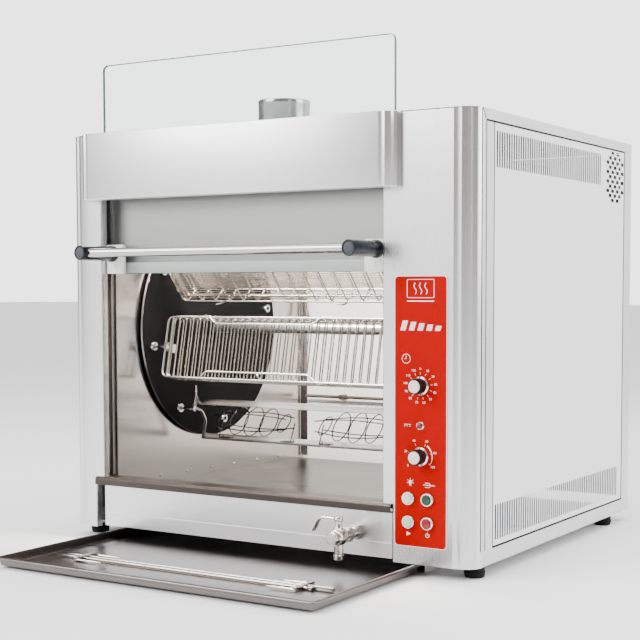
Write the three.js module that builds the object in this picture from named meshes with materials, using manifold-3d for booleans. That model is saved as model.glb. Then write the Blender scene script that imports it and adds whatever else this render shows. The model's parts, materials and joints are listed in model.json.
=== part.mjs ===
// Electric planetary rotisserie oven, bench size, in millimetres with +Z up.
//
// The pieces are drawn in the cabinet frame: X = 0 is the middle of the cabinet's width, Y = 0 is the
// plane of its front face with +Y going back, and Z = 0 is the underside of the cabinet, on top of the
// feet. The outer group then moves everything so that the origin is the middle of the whole footprint,
// with the drip tray pulled out, at the height of the surface that the oven stands on.
import * as THREE from "three";
import { mergeVertices } from "three/addons/utils/BufferGeometryUtils.js";
import Module from "manifold-3d";

const wasm = await Module();
wasm.setup();

// ---------------------------------------------------------------- driving dimensions (mm)

// sides of a round section: nuts, pins and holes, knobs and feet, wheels and ducts
const HEX = 6;
const SMALL = 8;
const ROUND = 16;
const WIDE = 36;

const CABINET_W = 1070;
const CABINET_D = 900;
const CABINET_H = 930;

const SHEET = 2; // every folded panel and post
const GAP = 0.3; // between pieces that touch

const FOOT_R = 22.5;
const FOOT_BELOW_TRAY = 5; // feet are this much taller than the tray that slides between them
const FOOT_INSET_X = 27;
const FOOT_FRONT_Y = 62;
const FOOT_FROM_REAR = 110;

// front face
const LEFT_POST_FACE = 62; // flat face of the left post
const LEFT_CORNER_W = 34; // rounded fluted corners, across the front
const RIGHT_CORNER_W = 47;
const CORNER_D = 33; // and round the side
const FLUTES = 5;
const FLUTE_DEPTH = 2.5;
const COLUMN_FACE = 163; // flat face of the control column
const POST_STEP = 23; // both posts are narrower below the sill
const POST_RETURN = 18; // folded edge beside the opening
const CORNER_TAIL = 20; // flat side behind each fluted corner

const SILL_BOTTOM = 103;
const SILL_TOP = 122;
const SILL_PROUD = 8;
const PANEL_BOTTOM = 6; // underside of the lower front panel
const PANEL_GROOVE_Z = 39;
const PANEL_END_GAP = 25; // dark gap beside the left post

const FASCIA_H = 155;
const FASCIA_PROUD = 35;
const FASCIA_OVERLAP = 44; // over each side of the opening

const HEADER_DROP = 324; // from the top of the cabinet to the opening's upper edge
const HEADER_Y = 45;

// sliding glass door
const GLASS_T = 8;
const GLASS_Y = 26; // front face of the glass
const GLASS_LAP = 14; // hidden in the guide on each side
const GLASS_CORNER_R = 14;
const GLASS_BELOW_HEADER = 2; // when it is raised
const GLASS_OVERLAP = 6; // of the header, when it is down
const BLOCK_W = 52;
const BLOCK_CLEAR = 1.5; // from the side of the opening
const BLOCK_H = 68;
const BLOCK_T = 12;
const STANDOFF_R = 17;
const STANDOFF_INSET = 22; // from the side of the opening
const STANDOFF_FRONT = -102;
const HANDLE_Z = 47; // above the bottom of the glass
const HANDLE_R = 10;
const HANDLE_BEHIND_END = 20; // bar behind the front end of its standoffs
const GUIDE_CLEAR = 2.5;
const WEIGHT_H = 245;
const WEIGHT_SECTION = [60, 45];
const RIGHT_WEIGHT_SECTION = [46, 58];

// side frames, roof and panels
const STRIP_START = 54;
const STRIP_W = 35;
const REAR_POST_W = 50;
const RAIL_H = 33;
const CAP_H = 22;
const SLOT_PITCH = 24;
const SLOT_W = 9;
const SLOT_H = 75;
const SLOT_EDGE = 17; // from the panel's top or bottom edge to the slots
const SLOT_START = 9; // from the panel's front edge
const UPPER_SLOT_MARGIN = 152; // from the end of the row to the panel's rear edge
const LOWER_SLOT_MARGIN = 22;
const LOWER_SLOT_DROP = 4; // lower row is this much nearer to its edge
const VENT_ROWS = [2, 3, 4, 3, 4, 3, 4, 3, 4, 3, 2];
const VENT_ROW_PITCH = 11.4;
const VENT_HOLE_PITCH = 33;
const VENT_HOLE = [20, 8.4];
const VENT_FROM_REAR = 62; // centre, from the panel's rear edge
const VENT_FROM_TOP = 68;

// cavity
const CEILING_DROP = 50; // below the top of the cabinet
const BACK_SPACE = 40; // behind the cavity
const LINER_INSET = 3; // cavity walls outside the edges of the opening
const FLOOR_FRONT_Z = 88;
const FLOOR_BACK_Z = 76;
const COLLAR_R = 60;
const COLLAR_Y = 205;
const COLLAR_H = 73; // above the roof

// planetary carousel
const WHEEL_FLOOR_CLEAR = 112; // least room round the wheels, half of it for the carriers
const WHEEL_BACK_CLEAR = 122.35;
const WHEEL_FRONT_CLEAR = 78.7;
const WHEEL_DROP = 14; // axis below the middle of the cavity's height
const WHEEL_T = 4;
const STATION_INSET = 36; // from the wheel's rim to the stations' axes
const STATIONS = 8;
const STATION_PHASE = 10; // degrees above the horizontal, at the back
const LEFT_WHEEL_GAP = 8; // from the cavity wall
const RIGHT_WHEEL_GAP = 27;
const GEAR_T = 8;
const GEAR_CLEAR = 5; // from the right wheel to the planet gears
const PLANET_TEETH = 16;
const SUN_TEETH = 32;
const SHAFT_R = 15;
const AXLE_R = 6;
const STUB_R = 4;
const BOSS_R = 12;
const SOCKET_R = 11;
const SOCKET_L = 20;
const BORE_CLEAR = 0.6;
const HUB_R = 25;
const HUB_L = 16;

// drive
const DRIVE_TEETH = 40;
const PINION_TEETH = 10;
const DRIVE_MODULE = 6;
const DRIVE_GAP = 28; // from the cavity wall to the drive gear
const PINION_SHAFT_R = 8;

// carriers
const WIRE = 4.5;
const FRAME_WIRE = 6;
const BASKET_CLEAR = 18; // from a basket's long edge to midway between two stations
const BASKET_DEPTH = 48;
const GRID_CELLS = 11;
const CARRIER_END_GAP = 30; // from a wheel's face to the carrier's end
const CRADLE_RAILS = [[12, 18], [38, -72]]; // across and up from the axle

// drip tray and spit
const TRAY_SIDE = 130; // room beside the tray, under the cabinet
const TRAY_SHORT = 260; // shorter than the cabinet is deep
const TRAY_OUT = 390; // rest position, pulled out
const TRAY_H = 20;
const TRAY_CLEAR = 1.5; // below the cabinet
const TRAY_LIP = 12;
const TRAY_T = 1.5;
const SPIT_SHORT = 110; // shorter than the tray is wide
const SPIT_Y = -232;

// tap
const TAP_INSET = 61; // from the right edge of the opening
const TAP_Z = 56;
const TAP_REACH = 106;

// controls, on the column's face
const PANEL_W = 122;
const PANEL_MARGIN = 12; // from the fluted corner to the panel
const PANEL_CORNER_R = 9;
const PANEL_LOW = 36.5;
const PANEL_HIGH = 595;
const PANEL_T = 2;
const TIMER_Z = 370;
const REGULATOR_Z = 225;
const LAMP_Z = 288;
const KNOB_R = 16.5;
const KNOB_L = 25;
const BUTTON_ROWS = [137, 88];
const BUTTON_X = [-27, 17]; // from the middle of the panel
const BUTTON_R = 10;
const BEZEL_R = 15;

// base plate, rear panel and cable gland
const PLATE_Z = 8;
const FLANGE = 28; // outer face to inner edge of the side frames' folds
const GLAND_OUT = 18;
const GLAND_FROM_SIDE = 105;
const GLAND_Z = 75;
const GLAND_R = 10;

// ---------------------------------------------------------------- derived places

const LEFT = -CABINET_W / 2;
const RIGHT = CABINET_W / 2;
const OPEN_L = LEFT + LEFT_CORNER_W + LEFT_POST_FACE;
const OPEN_R = RIGHT - RIGHT_CORNER_W - COLUMN_FACE;
const OPEN_MID = (OPEN_L + OPEN_R) / 2;
const FASCIA_BOTTOM = CABINET_H - FASCIA_H;
const HEADER_BOTTOM = CABINET_H - HEADER_DROP;
const GLASS_BOTTOM = HEADER_BOTTOM - GLASS_BELOW_HEADER;
const GLASS_H = HEADER_BOTTOM - SILL_TOP + GLASS_OVERLAP;
const CAVITY_TOP = CABINET_H - CEILING_DROP;
const CAVITY_BACK = CABINET_D - BACK_SPACE;
const CAVITY_L = OPEN_L + LINER_INSET;
const CAVITY_R = OPEN_R - LINER_INSET;
const CAVITY_FRONT = HEADER_Y + SHEET + GAP;
const GLASS_L = OPEN_L - GLASS_LAP;
const GLASS_R = OPEN_R + GLASS_LAP;
const HANDLE_REST_Z = GLASS_BOTTOM + HANDLE_Z;
const WHEEL_R = Math.min(
  (CAVITY_TOP - FLOOR_FRONT_Z) / 2 - WHEEL_FLOOR_CLEAR,
  (CAVITY_BACK - CAVITY_FRONT) / 2 - WHEEL_BACK_CLEAR,
);
const WHEEL_Y = CAVITY_FRONT + WHEEL_R + WHEEL_FRONT_CLEAR;
const WHEEL_Z = (CAVITY_TOP + FLOOR_FRONT_Z) / 2 - WHEEL_DROP;
const STATION_R = WHEEL_R - STATION_INSET;
const LEFT_WHEEL_X = CAVITY_L + LEFT_WHEEL_GAP;
const RIGHT_WHEEL_X = CAVITY_R - RIGHT_WHEEL_GAP - WHEEL_T;
const LEFT_BOSS_X = LEFT_WHEEL_X + WHEEL_T + 8;
const GEAR_X = RIGHT_WHEEL_X + WHEEL_T + GEAR_CLEAR;
const DRIVE_GEAR_X = CAVITY_R + DRIVE_GAP;
const DRIVE_GEAR_R = (DRIVE_TEETH * DRIVE_MODULE) / 2;
const SUN_R = (STATION_R * SUN_TEETH) / (SUN_TEETH + PLANET_TEETH);
const PLANET_R = STATION_R - SUN_R;
const CARRIER_L = LEFT_BOSS_X + CARRIER_END_GAP - 8;
const CARRIER_R = RIGHT_WHEEL_X - CARRIER_END_GAP;
const BASKET_HALF = Math.round(STATION_R * Math.sin(Math.PI / STATIONS) - BASKET_CLEAR);
const PANEL_FRONT_Y = STRIP_START + STRIP_W + 1;
const PANEL_BACK_Y = CABINET_D - REAR_POST_W - 1;
const PANEL_X = RIGHT - RIGHT_CORNER_W - PANEL_MARGIN - PANEL_W / 2;
const TAP_X = OPEN_R - TAP_INSET;
const TRAY_UNDER = TRAY_H + TRAY_CLEAR;
const TRAY_W = CABINET_W - 2 * TRAY_SIDE;
const TRAY_L = CABINET_D - TRAY_SHORT;
const SPIT_L = TRAY_W - SPIT_SHORT;
const FOOT_H = TRAY_H + FOOT_BELOW_TRAY;
const FOOT_REAR_Y = CABINET_D - FOOT_FROM_REAR;

// ---------------------------------------------------------------- materials

function finish(color, roughness, metalness, extra = {}) {
  return new THREE.MeshStandardMaterial({ color, roughness, metalness, ...extra });
}

const steel = finish(0xd9dadb, 0.35, 0.9);
const brightSteel = finish(0xe4e5e6, 0.18, 1.0);
const darkSteel = finish(0x6f6864, 0.4, 0.8);
const gearSteel = finish(0x8b8c90, 0.45, 1.0);
const wireSteel = finish(0xc9c6c0, 0.25, 1.0);
const blackEnamel = finish(0x101012, 0.5, 0.2);
const blackPlastic = finish(0x16181b, 0.45, 0.0);
const blackRubber = finish(0x0f0f10, 0.85, 0.0);
const whitePaint = finish(0xeceded, 0.45, 0.1);
const redPanel = finish(0xe0121a, 0.35, 0.0);
const clearGlass = finish(0xdcebe6, 0.05, 0.0, { transparent: true, opacity: 0.3 });
const greenPlastic = finish(0x0e5b3c, 0.35, 0.0);
const paleGreen = finish(0xcfe8c8, 0.3, 0.0);
const whitePlastic = finish(0xf2efe6, 0.35, 0.0);
const redPlastic = finish(0xb8161c, 0.3, 0.0);
const castIron = finish(0x4a4c50, 0.6, 0.6);

// ---------------------------------------------------------------- solids

// A closed three.js geometry as a solid that can be joined and cut.
function solid(geometry) {
  const plain = geometry.clone();
  plain.deleteAttribute("normal");
  plain.deleteAttribute("uv");
  const merged = mergeVertices(plain, 1e-3);
  return new wasm.Manifold(new wasm.Mesh({
    numProp: 3,
    vertProperties: new Float32Array(merged.attributes.position.array),
    triVerts: new Uint32Array(merged.index.array),
  }));
}

function geometryOf(body) {
  const mesh = body.getMesh();
  const geometry = new THREE.BufferGeometry();
  geometry.setAttribute("position", new THREE.BufferAttribute(mesh.vertProperties, 3));
  geometry.setIndex(new THREE.BufferAttribute(mesh.triVerts, 1));
  geometry.computeVertexNormals();
  return geometry;
}

function join(...bodies) {
  return bodies.flat().reduce((whole, body) => whole.add(body));
}

function cut(body, ...tools) {
  return tools.flat().reduce((rest, tool) => rest.subtract(tool), body);
}

// Box between two values on each axis.
function slab(x0, x1, y0, y1, z0, z1) {
  const box = new THREE.BoxGeometry(Math.abs(x1 - x0), Math.abs(y1 - y0), Math.abs(z1 - z0));
  return solid(box.translate((x0 + x1) / 2, (y0 + y1) / 2, (z0 + z1) / 2));
}

// Round bar along an axis from a to b, centred on the other two coordinates in x, y, z order.
function bar(axis, a, b, centre, radius, sides = ROUND, endRadius = radius) {
  const geometry = new THREE.CylinderGeometry(endRadius, radius, b - a, sides);
  const middle = (a + b) / 2;
  const [p, q] = centre;
  if (axis === "x") {
    return solid(geometry.rotateZ(-Math.PI / 2).translate(middle, p, q));
  }
  if (axis === "y") {
    return solid(geometry.translate(p, middle, q));
  }
  return solid(geometry.rotateX(Math.PI / 2).translate(p, q, middle));
}

// Outline given as [first, second] coordinates, carried along the third axis from a to b:
// "z" takes x, y points, "x" takes y, z points and "y" takes x, z points.
function prism(axis, points, a, b) {
  const shape = new THREE.Shape(points.map(([p, q]) => new THREE.Vector2(p, q)));
  const geometry = new THREE.ExtrudeGeometry(shape, { depth: b - a, bevelEnabled: false });
  if (axis === "z") {
    return solid(geometry.translate(0, 0, a));
  }
  if (axis === "x") {
    const turn = new THREE.Matrix4().makeBasis(
      new THREE.Vector3(0, 1, 0), new THREE.Vector3(0, 0, 1), new THREE.Vector3(1, 0, 0));
    return solid(geometry.applyMatrix4(turn).translate(a, 0, 0));
  }
  return solid(geometry.rotateX(Math.PI / 2).translate(0, b, 0));
}

function roundedOutline(x0, x1, z0, z1, radii, steps = 5) {
  const [bottomLeft, bottomRight, topRight, topLeft] = radii;
  const corners = [
    [x0, z0, bottomLeft, 180],
    [x1, z0, bottomRight, 270],
    [x1, z1, topRight, 0],
    [x0, z1, topLeft, 90],
  ];
  const points = [];
  for (const [x, z, radius, start] of corners) {
    if (radius === 0) {
      points.push([x, z]);
      continue;
    }
    const cx = x + (x === x0 ? radius : -radius);
    const cz = z + (z === z0 ? radius : -radius);
    for (let i = 0; i <= steps; i += 1) {
      const angle = THREE.MathUtils.degToRad(start + (90 * i) / steps);
      points.push([cx + radius * Math.cos(angle), cz + radius * Math.sin(angle)]);
    }
  }
  return points;
}

// Gear outline with straight-flanked teeth; the first tooth is centred on the given angle.
function gearOutline(teeth, pitchRadius, firstTooth) {
  const module = (2 * pitchRadius) / teeth;
  const pitch = (2 * Math.PI) / teeth;
  const rim = [[-0.31, -0.95], [-0.09, 0.72], [0.09, 0.72], [0.31, -0.95]];
  const points = [];
  for (let i = 0; i < teeth; i += 1) {
    for (const [share, rise] of rim) {
      const angle = firstTooth + pitch * (i + share);
      const radius = pitchRadius + rise * module;
      points.push([radius * Math.cos(angle), radius * Math.sin(angle)]);
    }
  }
  return points;
}

function piece(group, name, body, material, position = [0, 0, 0]) {
  const mesh = new THREE.Mesh(geometryOf(body), material);
  mesh.name = name;
  mesh.position.set(...position);
  group.add(mesh);
  return mesh;
}

function group(parent) {
  const made = new THREE.Group();
  parent.add(made);
  return made;
}

// ---------------------------------------------------------------- posts and cabinet

// Plan view of a fluted corner, from the front face round to the side. side is -1 left or 1 right.
function flutedCorner(side, width, inset) {
  const edge = side * CABINET_W / 2;
  const points = [];
  const steps = FLUTES * 3;
  for (let i = 0; i <= steps; i += 1) {
    const angle = (Math.PI / 2) * (i / steps);
    const groove = inset === 0 ? FLUTE_DEPTH * Math.abs(Math.cos((Math.PI * i) / 3)) : FLUTE_DEPTH;
    const ends = i === 0 || i === steps;
    const sink = ends ? inset : inset + groove;
    const x = edge - side * width + side * (width - sink) * Math.sin(angle);
    const y = CORNER_D - (CORNER_D - sink) * Math.cos(angle);
    points.push([x, y]);
  }
  return points;
}

// Just outside the door's guide channel on the side of the given opening edge.
function guideOutside(side, openingEdge) {
  return openingEdge + side * (GLASS_LAP + GUIDE_CLEAR + SHEET + 2);
}

// Folded front post: edge beside the opening, flat face, fluted corner and a short flat side.
function frontPost(side, openingEdge, cornerWidth) {
  const edge = side * CABINET_W / 2;
  const tail = CORNER_D + CORNER_TAIL;
  const section = (inner) => [
    [inner, POST_RETURN],
    [inner, 0],
    ...flutedCorner(side, cornerWidth, 0),
    [edge, tail],
    [edge - side * SHEET, tail],
    ...flutedCorner(side, cornerWidth, SHEET).reverse(),
    [inner + side * SHEET, SHEET],
    [inner + side * SHEET, POST_RETURN],
  ];
  const shoulder = guideOutside(side, openingEdge);
  const lid = [
    [openingEdge, POST_RETURN], [openingEdge, 0], ...flutedCorner(side, cornerWidth, 0),
    [shoulder, CORNER_D], [shoulder, POST_RETURN],
  ];
  return join(
    prism("z", section(openingEdge + side * POST_STEP), 0, SILL_TOP + GAP),
    prism("z", section(openingEdge), SILL_TOP + GAP, CABINET_H),
    prism("z", lid, CABINET_H - SHEET, CABINET_H),
  );
}

function addFeet(parent) {
  const shape = join(
    bar("z", -FOOT_H, -FOOT_H * 0.35, [0, 0], FOOT_R - 2, SMALL, FOOT_R),
    bar("z", -FOOT_H * 0.35, -GAP, [0, 0], FOOT_R, SMALL, FOOT_R - 3),
  );
  const places = {
    foot_front_left: [-1, FOOT_FRONT_Y],
    foot_front_right: [1, FOOT_FRONT_Y],
    foot_rear_left: [-1, FOOT_REAR_Y],
    foot_rear_right: [1, FOOT_REAR_Y],
  };
  for (const [name, [side, y]] of Object.entries(places)) {
    piece(parent, name, shape, blackRubber, [side * (RIGHT - FOOT_INSET_X), y, 0]);
  }
}

// Bottom plate with a pad over each foot and the two runners that carry the drip tray.
function baseFrame() {
  const edge = RIGHT - SHEET - FLUTE_DEPTH - 1;
  const front = CORNER_D + 1;
  const runner = TRAY_W / 2 + 1;
  const flange = 16;
  const pieces = [slab(-edge, edge, front, CABINET_D - SHEET - GAP, PLATE_Z, PLATE_Z + SHEET)];
  for (const side of [-1, 1]) {
    for (const y of [FOOT_FRONT_Y, FOOT_REAR_Y]) {
      const x = side * (RIGHT - FOOT_INSET_X);
      pieces.push(slab(x - FOOT_R, x + FOOT_R, y - FOOT_R, y + FOOT_R, 0, PLATE_Z + 1));
    }
    const top = -TRAY_UNDER - GAP;
    const outer = side * (runner + SHEET);
    pieces.push(slab(side * runner, outer, front, TRAY_L + 10, top - SHEET, PLATE_Z + 1));
    pieces.push(slab(outer, outer - side * flange, front, TRAY_L + 10, top - SHEET, top));
  }
  return join(pieces);
}

// Front strip, bottom rail and rear post of one side, welded into one frame.
function sideFrame(side) {
  const outer = side * RIGHT;
  const inner = side * (RIGHT - SHEET);
  const flange = side * (RIGHT - FLANGE);
  const top = CABINET_H - CAP_H - GAP;
  const railBack = CABINET_D;
  return join(
    slab(inner, outer, STRIP_START, STRIP_START + STRIP_W, 0, top),
    slab(flange, outer, STRIP_START, STRIP_START + SHEET, RAIL_H, top),
    slab(inner, outer, STRIP_START, railBack, 0, RAIL_H),
    slab(flange, outer, STRIP_START, railBack, RAIL_H - SHEET, RAIL_H),
    slab(inner, outer, CABINET_D - REAR_POST_W, railBack, 0, top),
    slab(flange, outer, CABINET_D - SHEET, railBack, RAIL_H - SHEET, top),
  );
}

function slotRow(x0, x1, z0, end) {
  const count = Math.floor((end - PANEL_FRONT_Y - SLOT_START) / SLOT_PITCH);
  const slots = [];
  for (let i = 0; i < count; i += 1) {
    const y = PANEL_FRONT_Y + SLOT_START + i * SLOT_PITCH;
    slots.push(slab(x0, x1, y, y + SLOT_W, z0, z0 + SLOT_H));
  }
  return slots;
}

function ventHoles(x0, x1) {
  const centreY = PANEL_BACK_Y - VENT_FROM_REAR;
  const centreZ = CABINET_H - CAP_H - VENT_FROM_TOP;
  const [length, height] = VENT_HOLE;
  const holes = [];
  VENT_ROWS.forEach((count, row) => {
    const z = centreZ + ((VENT_ROWS.length - 1) / 2 - row) * VENT_ROW_PITCH;
    for (let i = 0; i < count; i += 1) {
      const y = centreY + (i - (count - 1) / 2) * VENT_HOLE_PITCH;
      holes.push(slab(x0, x1, y - length / 2, y + length / 2, z - height / 2, z + height / 2));
    }
  });
  return holes;
}

function sidePanel(side, withVent) {
  const outer = side * (RIGHT - 0.5);
  const inner = side * (RIGHT - SHEET);
  const low = Math.min(outer, inner);
  const high = Math.max(outer, inner);
  const bottom = RAIL_H + 1;
  const top = CABINET_H - CAP_H - 1;
  const sheet = slab(low, high, PANEL_FRONT_Y, PANEL_BACK_Y, bottom, top);
  const tools = [
    ...slotRow(low - 1, high + 1, top - SLOT_EDGE - SLOT_H, PANEL_BACK_Y - UPPER_SLOT_MARGIN),
    ...slotRow(low - 1, high + 1, bottom + SLOT_EDGE - LOWER_SLOT_DROP, PANEL_BACK_Y - LOWER_SLOT_MARGIN),
    ...(withVent ? ventHoles(low - 1, high + 1) : []),
  ];
  return cut(sheet, join(tools));
}

function roof() {
  const skirt = CABINET_H - CAP_H;
  const frontY = CORNER_D + CORNER_TAIL + GAP;
  const shell = cut(
    slab(LEFT, RIGHT, frontY, CABINET_D, skirt, CABINET_H),
    slab(LEFT + SHEET, RIGHT - SHEET, frontY - 1, CABINET_D - SHEET, skirt - 1, CABINET_H - SHEET),
  );
  const noses = [[OPEN_L, OPEN_R, HEADER_Y + SHEET + GAP]];
  for (const [side, edge] of [[-1, OPEN_L], [1, OPEN_R]]) {
    noses.push([guideOutside(side, edge), side * (RIGHT - SHEET - GAP), CORNER_D + GAP]);
  }
  const lids = noses.map(([x0, x1, y]) => slab(x0, x1, y, frontY + 1, CABINET_H - SHEET, CABINET_H));
  const hole = bar("z", skirt, CABINET_H + 1, [OPEN_MID, COLLAR_Y], COLLAR_R + GAP, WIDE);
  return cut(join(shell, ...lids), hole);
}

// Sheet-metal hood over the top of the opening, with round fluted ends.
function fascia() {
  const left = OPEN_L - FASCIA_OVERLAP;
  const right = OPEN_R + FASCIA_OVERLAP;
  const back = -GAP;
  const end = (x, side, radius) => {
    const points = [];
    const steps = 12;
    for (let i = 0; i <= steps; i += 1) {
      const angle = (Math.PI / 2) * (i / steps);
      const ribs = radius === FASCIA_PROUD && i > 0 && i < steps && i % 3 === 0 ? 1.6 : 0;
      points.push([
        x - side * FASCIA_PROUD + side * (radius - ribs) * Math.sin(angle),
        back - (radius - ribs) * Math.cos(angle),
      ]);
    }
    return points;
  };
  const outline = (radius) => [...end(right, 1, radius).reverse(), ...end(left, -1, radius)];
  const shell = cut(
    prism("z", outline(FASCIA_PROUD), FASCIA_BOTTOM, CABINET_H - 1),
    prism("z", outline(FASCIA_PROUD - SHEET), FASCIA_BOTTOM + SHEET, CABINET_H - 1 - SHEET),
    slab(left + FASCIA_PROUD, right - FASCIA_PROUD, -FASCIA_PROUD + 8, 1,
      FASCIA_BOTTOM + SHEET, CABINET_H - 1 - SHEET),
  );
  return shell;
}

// Recessed panel above the opening, and the two channels that guide the glass beside it.
function doorFrame() {
  const top = CABINET_H - CAP_H - 3;
  const front = GLASS_Y - GUIDE_CLEAR - SHEET;
  const back = GLASS_Y + GLASS_T + GUIDE_CLEAR;
  const pieces = [slab(OPEN_L + 1, OPEN_R - 1, HEADER_Y, HEADER_Y + SHEET, HEADER_BOTTOM, top)];
  for (const [side, edge] of [[-1, OPEN_L], [1, OPEN_R]]) {
    const web = edge + side * (GLASS_LAP + GUIDE_CLEAR);
    const bottom = SILL_TOP + GAP;
    pieces.push(slab(web, web + side * SHEET, front, back + SHEET, bottom, top));
    pieces.push(slab(edge + side * 3, web + side, front, front + SHEET, bottom, top));
    pieces.push(slab(edge + side * 3, web + side, back, back + SHEET, bottom, top));
    pieces.push(slab(edge + side * 3, edge + side * (3 + SHEET), back, HEADER_Y + SHEET, bottom, top));
    pieces.push(slab(edge - side * 2, edge + side * (3 + SHEET), HEADER_Y, HEADER_Y + SHEET,
      HEADER_BOTTOM, top));
  }
  return join(pieces);
}

function sill() {
  const left = OPEN_L - POST_STEP + GAP;
  const right = OPEN_R + POST_STEP - GAP;
  const nose = [
    [HEADER_Y, SILL_BOTTOM], [HEADER_Y, SILL_TOP], [-SILL_PROUD + 5, SILL_TOP],
    [-SILL_PROUD, SILL_TOP - 5], [-SILL_PROUD, SILL_BOTTOM], [-SILL_PROUD + SHEET, SILL_BOTTOM],
    [-SILL_PROUD + SHEET, SILL_TOP - SHEET - 4], [-SILL_PROUD + 6, SILL_TOP - SHEET],
    [HEADER_Y - SHEET, SILL_TOP - SHEET], [HEADER_Y - SHEET, SILL_BOTTOM],
  ];
  return prism("x", nose, left, right);
}

function lowerFrontPanel() {
  const left = OPEN_L - POST_STEP + PANEL_END_GAP;
  const right = OPEN_R + POST_STEP - GAP;
  const top = SILL_BOTTOM - GAP;
  const body = join(
    slab(left, right, 0, SHEET, PANEL_BOTTOM, top),
    slab(left, right, 0, POST_RETURN, top - SHEET, top),
  );
  return cut(body,
    slab(left - 1, right + 1, -1, 0.9, PANEL_GROOVE_Z - 0.7, PANEL_GROOVE_Z + 0.7),
    bar("y", -1, SHEET + 1, [TAP_X, TAP_Z], 11, SMALL));
}

function addCabinet(parent) {
  addFeet(parent);
  piece(parent, "base_frame", baseFrame(), steel);
  piece(parent, "side_frame_left", sideFrame(-1), steel);
  piece(parent, "side_frame_right", sideFrame(1), steel);
  piece(parent, "left_post", frontPost(-1, OPEN_L, LEFT_CORNER_W), steel);
  piece(parent, "side_panel_left", sidePanel(-1, false), whitePaint);
  piece(parent, "side_panel_right", sidePanel(1, true), whitePaint);
  piece(parent, "roof", roof(), steel);
  piece(parent, "header_fascia", fascia(), steel);
  piece(parent, "door_frame", doorFrame(), steel);
  piece(parent, "sill", sill(), darkSteel);
  piece(parent, "lower_front_panel", lowerFrontPanel(), steel);
  const gland = [RIGHT - GLAND_FROM_SIDE, GLAND_Z];
  const rear = slab(LEFT + FLANGE + 1, RIGHT - FLANGE - 1, CABINET_D - SHEET, CABINET_D,
    RAIL_H + 1, CABINET_H - CAP_H - 1);
  const glandHole = bar("y", CABINET_D - 10, CABINET_D + 1, gland, GLAND_R + GAP, SMALL);
  piece(parent, "rear_panel", cut(rear, glandHole), whitePaint);
  const fitting = join(
    bar("y", CABINET_D - 12, CABINET_D + 2, gland, GLAND_R, SMALL),
    bar("y", CABINET_D + GAP, CABINET_D + 10, gland, GLAND_R + 5, HEX),
    bar("y", CABINET_D + 9, CABINET_D + GLAND_OUT, gland, GLAND_R + 3, SMALL, GLAND_R - 1),
  );
  const cordWay = bar("y", CABINET_D - 13, CABINET_D + GLAND_OUT + 1, gland, GLAND_R - 4, SMALL);
  piece(parent, "cable_gland", cut(fitting, cordWay), blackPlastic);
}

// ---------------------------------------------------------------- cavity

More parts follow.
